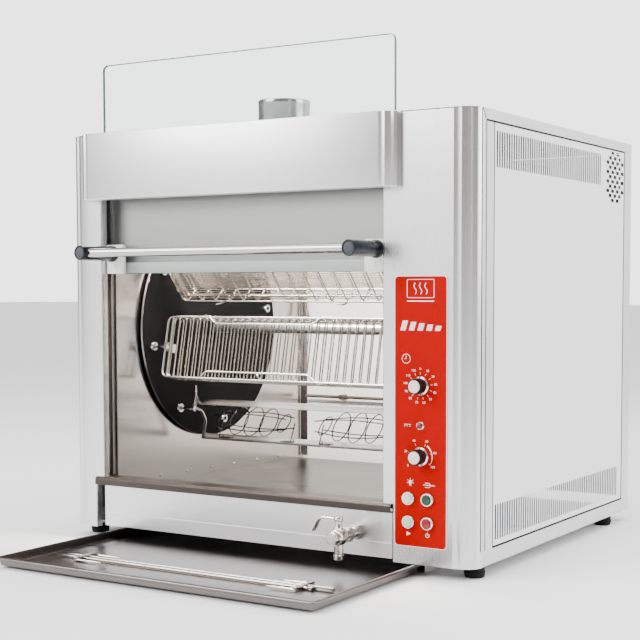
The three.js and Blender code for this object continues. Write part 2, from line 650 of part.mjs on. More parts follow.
function addCavity(parent) {
  const wallTop = CAVITY_TOP + SHEET;
  const back = CAVITY_BACK + SHEET;
  const low = FLOOR_BACK_Z - SHEET - 4;
  const insideL = CAVITY_L + GAP;
  const insideR = CAVITY_R - GAP;

  const shaftHole = (x0, x1) => bar("x", x0, x1, [WHEEL_Y, WHEEL_Z], SHAFT_R + 1, ROUND);
  const leftWall = join(
    slab(CAVITY_L - SHEET, CAVITY_L, CAVITY_FRONT, back, low, wallTop),
    bar("x", CAVITY_L - 14, CAVITY_L + 4, [WHEEL_Y, WHEEL_Z], SHAFT_R + 12, ROUND),
  );
  piece(parent, "cavity_left_wall", cut(leftWall, shaftHole(CAVITY_L - 15, CAVITY_L + 5)), steel);

  // the fixed sun gear is welded to the right wall
  const sun = prism("x", gearOutline(SUN_TEETH, SUN_R, 0), GEAR_X, GEAR_X + GEAR_T)
    .translate([0, WHEEL_Y, WHEEL_Z]);
  const rightWall = join(
    slab(CAVITY_R, CAVITY_R + SHEET, CAVITY_FRONT, back, low, wallTop),
    sun,
    bar("x", GEAR_X + GEAR_T - 1, CAVITY_R + 1, [WHEEL_Y, WHEEL_Z], SUN_R * 0.55, WIDE),
  );
  piece(parent, "cavity_right_wall", cut(rightWall, shaftHole(GEAR_X - 1, CAVITY_R + SHEET + 1)), steel);

  piece(parent, "cavity_back_wall",
    slab(insideL, insideR, CAVITY_BACK, back, low, CAVITY_TOP - GAP), brightSteel);
  const floorBack = CAVITY_BACK - GAP;
  piece(parent, "cavity_floor", prism("x", [
    [CAVITY_FRONT, FLOOR_FRONT_Z - SHEET], [floorBack, FLOOR_BACK_Z - SHEET],
    [floorBack, FLOOR_BACK_Z], [CAVITY_FRONT, FLOOR_FRONT_Z],
  ], insideL, insideR), steel);
  const ceiling = slab(insideL, insideR, CAVITY_FRONT, back, CAVITY_TOP, wallTop);
  const outlet = bar("z", CAVITY_TOP - 1, wallTop + 1, [OPEN_MID, COLLAR_Y], COLLAR_R - 3, WIDE);
  piece(parent, "cavity_ceiling", cut(ceiling, outlet), steel);

  const collarTop = CABINET_H + COLLAR_H;
  const collar = join(
    bar("z", wallTop + GAP, collarTop, [OPEN_MID, COLLAR_Y], COLLAR_R, WIDE),
    bar("z", wallTop + GAP, wallTop + 3, [OPEN_MID, COLLAR_Y], COLLAR_R + 12, WIDE),
  );
  const flue = bar("z", wallTop - 1, collarTop + 1, [OPEN_MID, COLLAR_Y], COLLAR_R - SHEET, WIDE);
  piece(parent, "exhaust_collar", cut(collar, flue), brightSteel);

  // sheathed heating element: three runs along the back wall joined at their ends
  const heaterY = CAVITY_BACK - 22;
  const heaterR = 6;
  const runs = [WHEEL_Z - 210, WHEEL_Z, WHEEL_Z + 210];
  const runL = insideL + 20;
  const runR = insideR - 10;
  const element = join(
    ...runs.map((z) => bar("x", runL, runR, [heaterY, z], heaterR, SMALL)),
    bar("z", runs[0], runs[1], [runR - heaterR, heaterY], heaterR - 0.4, SMALL),
    bar("z", runs[1], runs[2], [runL + heaterR, heaterY], heaterR - 0.4, SMALL),
    ...runs.map((z) => slab(OPEN_MID - 6, OPEN_MID + 6, heaterY, CAVITY_BACK - GAP, z - 4, z + 4)),
  );
  piece(parent, "heating_element", element, darkSteel);

  const lampY = 118;
  const lamp = join(
    bar("z", CAVITY_TOP - 30, CAVITY_TOP - GAP, [OPEN_MID, lampY], 30, ROUND),
    bar("z", CAVITY_TOP - 38, CAVITY_TOP - 29, [OPEN_MID, lampY], 18, ROUND, 25),
  );
  piece(parent, "cavity_lamp", lamp, whitePlastic);
}

// ---------------------------------------------------------------- door

function addDoor(parent) {
  const top = GLASS_BOTTOM + GLASS_H;
  const sheet = prism("y",
    roundedOutline(GLASS_L, GLASS_R, GLASS_BOTTOM, top, [0, 0, GLASS_CORNER_R, GLASS_CORNER_R]),
    GLASS_Y, GLASS_Y + GLASS_T);
  piece(parent, "door_glass", sheet, clearGlass);

  const axisY = STANDOFF_FRONT + HANDLE_BEHIND_END;
  const barEnds = [];
  for (const [name, side, edge] of [["left", -1, OPEN_L], ["right", 1, OPEN_R]]) {
    const blockOuter = edge - side * BLOCK_CLEAR;
    const blockBack = GLASS_Y - GAP;
    const block = slab(blockOuter, blockOuter - side * BLOCK_W,
      blockBack - BLOCK_T, blockBack, GLASS_BOTTOM, GLASS_BOTTOM + BLOCK_H);
    piece(parent, `door_block_${name}`, block, whitePlastic);

    const x = edge - side * STANDOFF_INSET;
    const arm = join(
      bar("y", STANDOFF_FRONT, blockBack - BLOCK_T - GAP, [x, HANDLE_REST_Z], STANDOFF_R, ROUND, STANDOFF_R),
      bar("y", blockBack - BLOCK_T - 6, blockBack - BLOCK_T - GAP, [x, HANDLE_REST_Z], STANDOFF_R + 2, ROUND),
    );
    const seat = bar("x", Math.min(x, x - side * 30), Math.max(x, x - side * 30),
      [axisY, HANDLE_REST_Z], HANDLE_R + GAP, ROUND);
    piece(parent, `door_standoff_${name}`, cut(arm, seat), blackPlastic);
    barEnds.push(x - side * GAP * 2);
  }
  const handle = bar("x", Math.min(...barEnds), Math.max(...barEnds), [axisY, HANDLE_REST_Z],
    HANDLE_R, ROUND);
  piece(parent, "door_handle_bar", handle, brightSteel);
}

function addCounterweights(parent) {
  const low = RAIL_H + 3;
  const front = STRIP_START + SHEET + 2;
  const [lw, ld] = WEIGHT_SECTION;
  const [rw, rd] = RIGHT_WEIGHT_SECTION;
  const leftX = LEFT + SHEET + FLUTE_DEPTH + 6;
  piece(parent, "counterweight_left", slab(leftX, leftX + lw, front, front + ld, low, low + WEIGHT_H),
    castIron);
  const rightX = OPEN_R + GLASS_LAP + 8;
  piece(parent, "counterweight_right", slab(rightX, rightX + rw, front, front + rd, low, low + WEIGHT_H),
    castIron);
}

// ---------------------------------------------------------------- carousel

function stationAngle(index) {
  return STATION_PHASE + (360 / STATIONS) * index;
}

function stationPlace(index) {
  const angle = THREE.MathUtils.degToRad(stationAngle(index));
  return [WHEEL_Y + STATION_R * Math.cos(angle), WHEEL_Z + STATION_R * Math.sin(angle)];
}

// Wheel of the carousel. The left one carries a boss for each carrier's end, up to bossEnd; the right
// one has plain bores for the planet axles and its hub on the other side.
function wheel(x, bossEnd, bore) {
  const hub = bossEnd === null ? [x - HUB_L, x + WHEEL_T] : [x, x + WHEEL_T + HUB_L];
  const body = [
    bar("x", x, x + WHEEL_T, [WHEEL_Y, WHEEL_Z], WHEEL_R, WIDE),
    bar("x", ...hub, [WHEEL_Y, WHEEL_Z], HUB_R, ROUND),
  ];
  const tools = [bar("x", x - 20, x + 40, [WHEEL_Y, WHEEL_Z], SHAFT_R + GAP, ROUND)];
  for (let i = 0; i < STATIONS; i += 1) {
    const place = stationPlace(i);
    if (bossEnd !== null) {
      body.push(bar("x", x + 1, bossEnd, place, BOSS_R, SMALL));
    }
    tools.push(bar("x", x - 20, x + 40, place, bore, SMALL));
  }
  return cut(join(body), tools);
}

// Planet pinion with its axle through the right wheel and its socket on the cavity side, drawn about
// the station's own axis. The tooth phase follows the sun gear at the station's angle.
function planet(index) {
  const angle = THREE.MathUtils.degToRad(stationAngle(index));
  const sunPitch = (2 * Math.PI) / SUN_TEETH;
  const nearest = Math.round(angle / sunPitch) * sunPitch;
  const gapAngle = angle + Math.PI - ((nearest - angle) * SUN_TEETH) / PLANET_TEETH;
  const firstTooth = gapAngle + Math.PI / PLANET_TEETH;
  return join(
    prism("x", gearOutline(PLANET_TEETH, PLANET_R, firstTooth), GEAR_X, GEAR_X + GEAR_T),
    bar("x", RIGHT_WHEEL_X - SOCKET_L, GEAR_X + GEAR_T + 4, [0, 0], AXLE_R, SMALL),
    bar("x", RIGHT_WHEEL_X - SOCKET_L, RIGHT_WHEEL_X - GAP, [0, 0], SOCKET_R, SMALL),
  );
}

// Square bar in the plane X = x between two places, given as y and z from the axle.
function crossBar(from, to, x, size) {
  const [y0, z0] = from;
  const [y1, z1] = to;
  const length = Math.hypot(y1 - y0, z1 - z0);
  const geometry = new THREE.BoxGeometry(size, length + size, size);
  geometry.rotateX(Math.atan2(z1 - z0, y1 - y0));
  return solid(geometry.translate(x, (y0 + y1) / 2, (z0 + z1) / 2));
}

// Grid of one basket half: a frame with evenly spaced wires across it, lying flat at the given depth.
function wireGrid(depth) {
  const plate = slab(CARRIER_L, CARRIER_R, -BASKET_HALF, BASKET_HALF, depth, depth + WIRE);
  const pitch = (CARRIER_R - CARRIER_L - FRAME_WIRE) / GRID_CELLS;
  const inner = BASKET_HALF - FRAME_WIRE;
  const cells = [];
  for (let i = 0; i < GRID_CELLS; i += 1) {
    const x0 = CARRIER_L + FRAME_WIRE + pitch * i;
    const x1 = x0 + pitch - (i === GRID_CELLS - 1 ? FRAME_WIRE : WIRE);
    cells.push(slab(x0, x1, -inner, inner, depth - 1, depth + WIRE + 1));
  }
  return cut(plate, cells);
}

// Flat basket of two wire grids joined at both ends, turned about its axle by the given degrees.
function basket(degrees, near) {
  const far = near + BASKET_DEPTH - WIRE;
  const parts = [wireGrid(near), wireGrid(far)];
  for (const x of [CARRIER_L, CARRIER_R - FRAME_WIRE]) {
    for (const u of [-BASKET_HALF, -FRAME_WIRE, BASKET_HALF - FRAME_WIRE * 2]) {
      parts.push(slab(x, x + FRAME_WIRE, u, u + FRAME_WIRE * 2, near + 1, far + WIRE - 1));
    }
  }
  return [join(parts).rotate([degrees, 0, 0])];
}

function stubs() {
  return [
    bar("x", LEFT_WHEEL_X, CARRIER_L + 2, [0, 0], STUB_R, SMALL),
    bar("x", CARRIER_R - 2, RIGHT_WHEEL_X - SOCKET_L + 1, [0, 0], STUB_R, SMALL),
  ];
}

// Two flat rails on end brackets, with rings round each of the two joints of meat that it carries.
function cradle() {
  const parts = [];
  const [upper, lower] = CRADLE_RAILS;
  for (const [y, z] of CRADLE_RAILS) {
    parts.push(slab(CARRIER_L, CARRIER_R, y - 1.5, y + 1.5, z - 8, z + 8));
  }
  for (const x of [CARRIER_L, CARRIER_R]) {
    parts.push(crossBar([0, 0], upper, x, FRAME_WIRE + 2));
    parts.push(crossBar([0, 0], lower, x, FRAME_WIRE + 2));
    parts.push(crossBar(upper, lower, x, FRAME_WIRE + 1));
  }
  const ringY = (upper[0] + lower[0]) / 2 + 4;
  const ringZ = (upper[1] + lower[1]) / 2;
  const rings = 4;
  for (let i = 0; i < rings; i += 1) {
    const x = CARRIER_L + ((CARRIER_R - CARRIER_L) * (i + 1)) / (rings + 1);
    const hoop = cut(
      bar("x", x - 1.5, x + 1.5, [ringY, ringZ], 43, SMALL),
      bar("x", x - 3, x + 3, [ringY, ringZ], 40, SMALL),
    );
    parts.push(hoop);
  }
  return parts;
}

function addCarousel(parent) {
  const leftEnd = CAVITY_L - 12;
  const shaft = join(
    bar("x", leftEnd, DRIVE_GEAR_X + GEAR_T + 12, [WHEEL_Y, WHEEL_Z], SHAFT_R, ROUND),
    prism("x", gearOutline(DRIVE_TEETH, DRIVE_GEAR_R, 0), DRIVE_GEAR_X, DRIVE_GEAR_X + GEAR_T)
      .translate([0, WHEEL_Y, WHEEL_Z]),
  );
  piece(parent, "carousel_shaft", shaft, gearSteel);
  piece(parent, "wheel_left", wheel(LEFT_WHEEL_X, LEFT_BOSS_X, STUB_R + BORE_CLEAR), blackEnamel);
  piece(parent, "wheel_right", wheel(RIGHT_WHEEL_X, null, AXLE_R + BORE_CLEAR), blackEnamel);

  const carriers = {
    3: ["mesh_basket", () => basket(-48.8, -30)],
    4: ["grid_basket", () => basket(78, -BASKET_DEPTH + 8)],
    5: ["roast_cradle", () => cradle()],
  };
  for (let i = 0; i < STATIONS; i += 1) {
    const [y, z] = stationPlace(i);
    if (carriers[i]) {
      const [name, make] = carriers[i];
      piece(parent, name, join(planet(i), ...stubs(), ...make()), wireSteel, [0, y, z]);
    } else {
      piece(parent, `planet_axle_${i + 1}`, planet(i), gearSteel, [0, y, z]);
    }
  }
}

function addDrive(parent) {
  const pinionR = (PINION_TEETH * DRIVE_MODULE) / 2;
  const z = WHEEL_Z - DRIVE_GEAR_R - pinionR;
  // the driven gear has a tooth pointing straight down when its tooth count divides by four,
  // so the pinion has a gap there
  const firstTooth = Math.PI / 2 + Math.PI / PINION_TEETH;
  const pinion = join(
    prism("x", gearOutline(PINION_TEETH, pinionR, firstTooth), DRIVE_GEAR_X, DRIVE_GEAR_X + GEAR_T),
    bar("x", DRIVE_GEAR_X - 4, DRIVE_GEAR_X + GEAR_T + 16, [0, 0], PINION_SHAFT_R, SMALL),
  );
  piece(parent, "motor_pinion", pinion, gearSteel, [0, WHEEL_Y, z]);

  const boxX = DRIVE_GEAR_X + GEAR_T + 8;
  const motor = join(
    slab(boxX, boxX + 52, WHEEL_Y - 48, WHEEL_Y + 48, z - 55, z + 45),
    bar("x", boxX + 50, boxX + 148, [WHEEL_Y, z], 44, ROUND),
    slab(boxX + 4, boxX + 48, WHEEL_Y - 40, WHEEL_Y - 30, 12, z - 50),
    slab(boxX + 4, boxX + 48, WHEEL_Y + 30, WHEEL_Y + 40, 12, z - 50),
    slab(boxX - 2, boxX + 60, WHEEL_Y - 55, WHEEL_Y + 55, PLATE_Z + SHEET + GAP, PLATE_Z + 8),
  );
  const bore = bar("x", boxX - 1, boxX + 20, [WHEEL_Y, z], PINION_SHAFT_R + BORE_CLEAR, ROUND);
  piece(parent, "gear_motor", cut(motor, bore), castIron);
}

// ---------------------------------------------------------------- drip tray, spit and tap

function addTray(parent) {
  const low = -TRAY_UNDER;
  const half = TRAY_W / 2;
  const back = TRAY_L - TRAY_OUT;
  const tray = cut(
    slab(-half, half, -TRAY_OUT, back, low, low + TRAY_H),
    slab(-half + TRAY_T, half - TRAY_T, -TRAY_OUT + TRAY_T, back - TRAY_T, low + TRAY_T, low + TRAY_H + 1),
  );
  const lip = slab(-half, half, -TRAY_OUT, -TRAY_OUT + TRAY_LIP, low + TRAY_H - TRAY_T, low + TRAY_H);
  piece(parent, "drip_tray", join(tray, lip), steel);

  const z = low + TRAY_T + GAP;
  const rise = 7;
  const prongs = [-9, 9];
  const parts = prongs.map((y) => slab(-SPIT_L / 2, SPIT_L / 2 - 40, y - 2.5, y + 2.5, 0, rise));
  parts.push(slab(SPIT_L / 2 - 60, SPIT_L / 2 - 40, -11.5, 11.5, 0, rise));
  parts.push(slab(SPIT_L / 2 - 45, SPIT_L / 2, -5, 5, 0, 10));
  for (const [x, reach] of [[-SPIT_L / 2 + 60, 70], [SPIT_L / 2 - 70, -70]]) {
    parts.push(slab(x - 5, x + 5, -34, 34, 0, rise + 3));
    for (const y of [-31, 31]) {
      parts.push(slab(Math.min(x, x + reach), Math.max(x, x + reach), y - 2.5, y + 2.5, 0, 5));
    }
  }
  piece(parent, "spit", join(parts), wireSteel, [0, SPIT_Y, z]);
}

function addTap(parent) {
  const stemY = -TAP_REACH + 30;
  const body = join(
    bar("y", -TAP_REACH + 8, 12, [TAP_X, TAP_Z], 10, SMALL),
    bar("y", -16, -GAP, [TAP_X, TAP_Z], 17, HEX),
    bar("y", -48, -34, [TAP_X, TAP_Z], 17, HEX),
    bar("y", stemY - 17, stemY + 17, [TAP_X, TAP_Z], 18, ROUND),
    bar("y", -TAP_REACH, stemY - 16, [TAP_X, TAP_Z], 14, ROUND),
    bar("z", 9, TAP_Z, [TAP_X, stemY], 11, SMALL),
    bar("z", TAP_Z, TAP_Z + 34, [TAP_X, stemY], 8, SMALL),
  );
  piece(parent, "tap_body", body, brightSteel);
  const top = TAP_Z + 34 + GAP;
  const lever = join(
    slab(-10, 10, -9, 9, top, top + 9),
    prism("y", [
      [-8, top + 2], [-52, top + 2], [-66, top - 26], [-60, top - 28], [-47, top - 3], [-8, top + 1],
    ], -6, 6),
  );
  piece(parent, "tap_lever", lever, brightSteel, [TAP_X, stemY, 0]);
}

// ---------------------------------------------------------------- controls

function buttonPlaces() {
  const names = [["light_button", "rotation_button"], ["start_button", "stop_button"]];
  const places = [];
  BUTTON_ROWS.forEach((z, row) => {
    BUTTON_X.forEach((dx, column) => places.push([names[row][column], PANEL_X + dx, z]));
  });
  return places;
}

function addControls(parent) {
  const front = -PANEL_T - GAP;
  const knobZ = [TIMER_Z, REGULATOR_Z];
  const shaftR = 4;
  const tubeR = BUTTON_R + 2;
  const lampR = 7;

  const through = (y0, y1, extra) => [
    ...buttonPlaces().map(([, x, z]) => bar("y", y0, y1, [x, z], tubeR + extra, SMALL)),
    ...knobZ.map((z) => bar("y", y0, y1, [PANEL_X, z], shaftR + BORE_CLEAR, SMALL)),
    bar("y", y0, y1, [PANEL_X, LAMP_Z], lampR + extra, SMALL),
  ];

  const column = cut(frontPost(1, OPEN_R, RIGHT_CORNER_W), through(-1, SHEET + 1, GAP));
  piece(parent, "control_column", column, steel);

  const half = PANEL_W / 2;
  const radii = Array(4).fill(PANEL_CORNER_R);
  const outline = roundedOutline(PANEL_X - half, PANEL_X + half, PANEL_LOW, PANEL_HIGH, radii, 4);
  piece(parent, "control_panel", cut(prism("y", outline, front, -GAP), through(front - 1, 1, GAP)), redPanel);

  // carrier plate behind the column with the bezels of the four buttons and of the signal lamp
  const plateY = SHEET + 1;
  const plate = slab(PANEL_X - 43, PANEL_X + 34, plateY, plateY + SHEET, 66, LAMP_Z + 16);
  const tubes = buttonPlaces().flatMap(([, x, z]) => [
    bar("y", front - 6, 26, [x, z], tubeR, SMALL),
    bar("y", front - 6, front - GAP, [x, z], BEZEL_R, ROUND),
  ]);
  const bores = buttonPlaces().map(([, x, z]) => bar("y", front - 7, 27, [x, z], BUTTON_R + GAP, SMALL));
  const lamp = [
    bar("y", front - 5, 20, [PANEL_X, LAMP_Z], lampR, SMALL),
    bar("y", front - 5, front - GAP, [PANEL_X, LAMP_Z], lampR + 3, SMALL, lampR + 1),
  ];
  const boreR = shaftR + BORE_CLEAR;
  const shaftBore = bar("y", plateY - 1, plateY + SHEET + 1, [PANEL_X, REGULATOR_Z], boreR, SMALL);
  piece(parent, "button_block", cut(join(plate, ...tubes, ...lamp), ...bores, shaftBore), gearSteel);

  const colours = [whitePlastic, greenPlastic, paleGreen, redPlastic];
  buttonPlaces().forEach(([name, x, z], i) => {
    const button = bar("y", front - 10, 22, [0, 0], BUTTON_R, SMALL);
    piece(parent, name, button, colours[i], [x, 0, z]);
  });

  const knob = join(
    bar("y", front - 4, front - 1, [0, 0], KNOB_R + 3, ROUND),
    bar("y", front - 4 - KNOB_L, front - 3, [0, 0], KNOB_R - 1.5, ROUND, KNOB_R),
    bar("y", front - 2, 20, [0, 0], shaftR, SMALL),
  );
  piece(parent, "timer_knob", knob, blackPlastic, [PANEL_X, 0, TIMER_Z]);
  piece(parent, "regulator_knob", knob, blackPlastic, [PANEL_X, 0, REGULATOR_Z]);

  const unitFront = plateY + SHEET + 1;
  const unitBack = 46;
  const units = join(
    ...knobZ.map((z) => slab(PANEL_X - 24, PANEL_X + 24, unitFront, unitBack, z - 25, z + 25)),
    slab(PANEL_X - 20, PANEL_X + 20, unitBack - SHEET, unitBack, REGULATOR_Z, TIMER_Z),
  );
  const sockets = knobZ.map((z) => bar("y", unitFront - 1, 24, [PANEL_X, z], shaftR + BORE_CLEAR, SMALL));
  piece(parent, "timer_and_regulator", cut(units, ...sockets), blackPlastic);
}

// ---------------------------------------------------------------- the oven

const oven = new THREE.Group();
const cabinet = group(oven);
addCabinet(cabinet);
addCavity(cabinet);
addDrive(cabinet);
addControls(cabinet);
addTap(cabinet);
addDoor(group(oven));
addCounterweights(group(oven));
addCarousel(group(oven));
addTray(group(oven));

const footprintBack = CABINET_D + GLAND_OUT;
oven.position.set(0, -(footprintBack - TRAY_OUT) / 2, FOOT_H);

export default oven;
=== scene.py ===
import json
import math

import bmesh
import bpy
import numpy as np
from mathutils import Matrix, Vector
from mathutils.geometry import delaunay_2d_cdt

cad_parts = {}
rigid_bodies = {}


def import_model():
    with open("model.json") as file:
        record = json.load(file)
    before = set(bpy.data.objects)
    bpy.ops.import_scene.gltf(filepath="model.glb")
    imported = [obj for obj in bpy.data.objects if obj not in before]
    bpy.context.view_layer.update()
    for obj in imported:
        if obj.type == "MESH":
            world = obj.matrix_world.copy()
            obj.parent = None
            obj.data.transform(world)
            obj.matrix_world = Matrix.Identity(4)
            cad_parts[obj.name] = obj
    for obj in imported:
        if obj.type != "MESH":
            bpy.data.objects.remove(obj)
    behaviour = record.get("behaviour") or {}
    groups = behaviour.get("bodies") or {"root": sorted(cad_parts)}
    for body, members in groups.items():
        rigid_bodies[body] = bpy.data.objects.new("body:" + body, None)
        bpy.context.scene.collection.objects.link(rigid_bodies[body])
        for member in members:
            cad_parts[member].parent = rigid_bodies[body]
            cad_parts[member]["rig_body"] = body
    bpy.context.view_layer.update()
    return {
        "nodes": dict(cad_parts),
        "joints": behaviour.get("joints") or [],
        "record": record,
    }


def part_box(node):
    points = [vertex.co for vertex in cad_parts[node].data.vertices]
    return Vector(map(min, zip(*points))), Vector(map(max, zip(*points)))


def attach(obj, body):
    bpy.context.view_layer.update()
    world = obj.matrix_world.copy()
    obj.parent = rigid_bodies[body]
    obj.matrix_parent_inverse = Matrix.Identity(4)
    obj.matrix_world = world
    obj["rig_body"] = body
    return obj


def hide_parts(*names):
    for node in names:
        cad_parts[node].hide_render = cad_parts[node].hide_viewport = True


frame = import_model()

bl_info = {
    "name": "Rotisserie Oven",
    "version": (1, 0, 0),
    "blender": (4, 5, 0),
    "location": "3D View > Sidebar > Oven",
    "description": "Makes the visible pieces and finishes of a bench-size planetary rotisserie oven",
    "category": "Add Mesh",
}

MM = 0.001
GAUGE = 0.8 * MM  # sheet of the slotted side panels
SEAM = 2.4 * MM  # width of the seams round the side panels
HAIR = 0.2 * MM  # how far a dark strip of painted shadow in the seams stands proud of the sheet
CORNER_DEPTH = 33 * MM  # front to back of a fluted corner
LEFT_CORNER = 34 * MM  # width of the left post's fluted corner
RIGHT_CORNER = 47 * MM  # width of the control column's fluted corner
SILL_STEP = 23 * MM  # how far the posts draw back beside the sill
POST_BEND = 3 * MM  # where a post's face has finished its bend
POST_EDGE = 6  # points of a post's section from its flange to the end of that bend
LAMP_RISE = 63 * MM  # signal lamp above the regulator's shaft
NUT_DEPTH = 9.3 * MM  # from the lever's top down to the underside of its nut

# ------------------------------------------------------------------ the frame's own measures


def corners(node):
    """Lowest and highest corner of a node of the frame, as arrays."""
    low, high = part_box(node)
    return np.array(low), np.array(high)


def centre(node):
    """Middle of a node's box."""
    low, high = corners(node)
    return (low + high) / 2


JOINTS = {joint["name"]: joint for joint in frame["joints"]}
BODY_OF = {node: obj["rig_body"] for node, obj in frame["nodes"].items()}
SLOT_OF = {part["node"]: part["material_slot"] for part in frame["record"]["subparts"]}

FACE_Y = corners("left_post")[0][1]
BACK = corners("rear_panel")[1][1]
SILL_LOW, SILL_HIGH = corners("sill")[0][2], corners("sill")[1][2]
AXLE = np.array(JOINTS["carousel_spin"]["pos_m"])
STATIONS = [np.array(JOINTS[f"station_{i + 1}_spin"]["pos_m"]) for i in range(8)]


class OvenSizes(bpy.types.PropertyGroup):
    """Sizes of the parts that the frame leaves plain."""

    sheet: bpy.props.FloatProperty(
        name="Sheet", description="Thickness of the folded panels", default=2 * MM, unit="LENGTH")
    slot_pitch: bpy.props.FloatProperty(
        name="Louvre pitch", description="From one side louvre to the next", default=11.8 * MM, unit="LENGTH")
    slot_width: bpy.props.FloatProperty(
        name="Louvre width", description="Width of one side louvre", default=7.4 * MM, unit="LENGTH")
    flute_depth: bpy.props.FloatProperty(
        name="Flute depth", description="Depth of the flutes in the rounded corners", default=1.7 * MM,
        unit="LENGTH")
    grid_pitch: bpy.props.FloatProperty(
        name="Grid pitch", description="From wire to wire across the grid basket", default=21 * MM,
        unit="LENGTH")
    mesh_pitch: bpy.props.FloatProperty(
        name="Mesh pitch", description="From wire to wire along the mesh basket", default=7.5 * MM,
        unit="LENGTH")
    frame_wire: bpy.props.FloatProperty(
        name="Frame wire", description="Thickness of a basket's frame wire", default=5.2 * MM, unit="LENGTH")
    grid_wire: bpy.props.FloatProperty(
        name="Grid wire", description="Thickness of a basket's cross wires", default=3.2 * MM, unit="LENGTH")


class OvenColours(bpy.types.PropertyGroup):
    """Colours of the finishes."""

    steel: bpy.props.FloatVectorProperty(
        name="Steel", description="Brushed stainless sheet", subtype="COLOR", size=3,
        default=(0.70, 0.70, 0.71))
    side: bpy.props.FloatVectorProperty(
        name="Side panels", description="Pale satin paint of the side panels", subtype="COLOR", size=3,
        default=(0.84, 0.85, 0.87))
    panel: bpy.props.FloatVectorProperty(
        name="Control panel", description="Red of the control panel", subtype="COLOR", size=3,
        default=(0.37, 0.0, 0.0005))
    marks: bpy.props.FloatVectorProperty(
        name="Marks", description="Pale marks on the control panel", subtype="COLOR", size=3,
        default=(0.95, 0.80, 0.80))
    glass_edge: bpy.props.FloatVectorProperty(
        name="Glass edge", description="Green of the glass seen through its edge", subtype="COLOR", size=3,
        default=(0.015, 0.085, 0.075))
    enamel: bpy.props.FloatVectorProperty(
        name="Wheel enamel", description="Black enamel of the carousel's wheels", subtype="COLOR", size=3,
        default=(0.003, 0.003, 0.003))


# ------------------------------------------------------------------ finishes


class Signal:
    """A number on its way through a finish's nodes. Sums on it add Math nodes."""

    def __init__(self, finish, socket):
        self.finish = finish
        self.socket = socket

    def maths(self, operation, first, second):
        """A Math node on two values."""
        return self.finish.node("ShaderNodeMath", {"operation": operation}, {0: first, 1: second})

    def __add__(self, other):
        return self.maths("ADD", self, other)

    def __radd__(self, other):
        return self.maths("ADD", other, self)

    def __mul__(self, other):
        return self.maths("MULTIPLY", self, other)

    def __rmul__(self, other):
        return self.maths("MULTIPLY", other, self)


def fill_ramp(ramp, stops):
    """Sets a colour ramp's stops, each a position and a colour."""
    while len(ramp.elements) < len(stops):
        ramp.elements.new(0.5)
    for element, (position, colour) in zip(ramp.elements, stops):
        element.position = position
        element.color = colour


class Finish:
    """A material under way: node() adds any node and returns what comes out of it."""

    def __init__(self, name):
        self.material = bpy.data.materials.new(name)
        self.material.use_nodes = True
        self.tree = self.material.node_tree
        self.shader = self.tree.nodes["Principled BSDF"]
        self.output = self.tree.nodes["Material Output"]

    def node(self, kind, settings, inputs, output=0):
        """A node of the kind, with its settings first and then the values or links of its sockets."""
        made = self.tree.nodes.new(kind)
        for name, value in settings.items():
            if name == "stops":
                fill_ramp(made.color_ramp, value)
            else:
                setattr(made, name, value)
        for name, value in inputs.items():
            self.feed(made.inputs[name], value)
        return Signal(self, made.outputs[output])

    def feed(self, socket, value):
        """Links a signal to a socket, or sets a plain value on it."""
        if isinstance(value, Signal):
            self.tree.links.new(value.socket, socket)
        elif isinstance(value, tuple) and len(value) == 3 and socket.type == "RGBA":
            socket.default_value = (*value, 1)
        else:
            socket.default_value = value

    def where(self, stretch=(1, 1, 1)):
        """The place on the piece in metres, times a factor for each axis."""
        place = self.node("ShaderNodeTexCoord", {}, {}, "Object")
        return self.node("ShaderNodeMapping", {"vector_type": "POINT"}, {"Vector": place, "Scale": stretch})

    def cloud(self, place, scale, detail=2, roughness=0.5):
        """Soft noise from 0 to 1, with its blotches about 1/scale metres wide."""
        return self.node("ShaderNodeTexNoise", {},
                         {"Vector": place, "Scale": scale, "Detail": detail, "Roughness": roughness})

    def blend(self, share, first, second):
        """One colour at a share of 0, the other at 1."""
        return self.node("ShaderNodeMix", {"data_type": "RGBA"}, {0: share, 6: first, 7: second}, 2)

    def bump(self, height, strength, distance):
        """Relief from a height signal, as deep as the distance in metres."""
        normal = self.node("ShaderNodeBump", {},
                           {"Height": height, "Strength": strength, "Distance": distance})
        self.feed(self.shader.inputs["Normal"], normal)

    def set(self, **values):
        """Feeds the shader's sockets by name, and returns the material."""
        for name, value in values.items():
            self.feed(self.shader.inputs[name.replace("_", " ")], value)
        return self.material


def shade(colour, factor):
    """A colour made lighter or darker, held at white."""
    return tuple(min(1.0, channel * factor) for channel in colour)


def brushed(name, colour, grain, roughness=0.33, streak=0.07, metal=1.0):
    """Brushed stainless sheet: fine streaks along the grain axis, and slow clouds of polish."""
    finish = Finish(name)
    along = {"x": (0.012, 1, 1), "y": (1, 0.012, 1), "z": (1, 1, 0.012)}[grain]
    streaks = finish.cloud(finish.where(along), 900, 3, 0.7)
    clouds = finish.cloud(finish.where(), 4.5, 3)
    finish.bump(streaks, 0.10, 0.0002)
    worn = finish.cloud(finish.where(tuple(0.15 if a < 1 else 1 for a in along)), 60, 2)
    share = 0.55 * streaks + 0.45 * worn
    return finish.set(
        Base_Color=finish.blend(share, shade(colour, 1 - streak), shade(colour, 1 + streak)),
        Metallic=metal,
        Roughness=roughness - 0.09 + 0.10 * streaks + 0.09 * clouds,
    )


def polished(name, colour, roughness=0.1):
    """Polished metal: a clear mirror dulled by faint wiping marks and fingerprints."""
    finish = Finish(name)
    wipes = finish.cloud(finish.where((1, 1, 0.35)), 38, 4, 0.6)
    specks = finish.cloud(finish.where(), 420, 2)
    finish.bump(specks, 0.04, 0.0002)
    return finish.set(
        Base_Color=finish.blend(wipes, shade(colour, 0.93), shade(colour, 1.04)),
        Metallic=1.0,
        Roughness=roughness + 0.10 * wipes * wipes,
    )


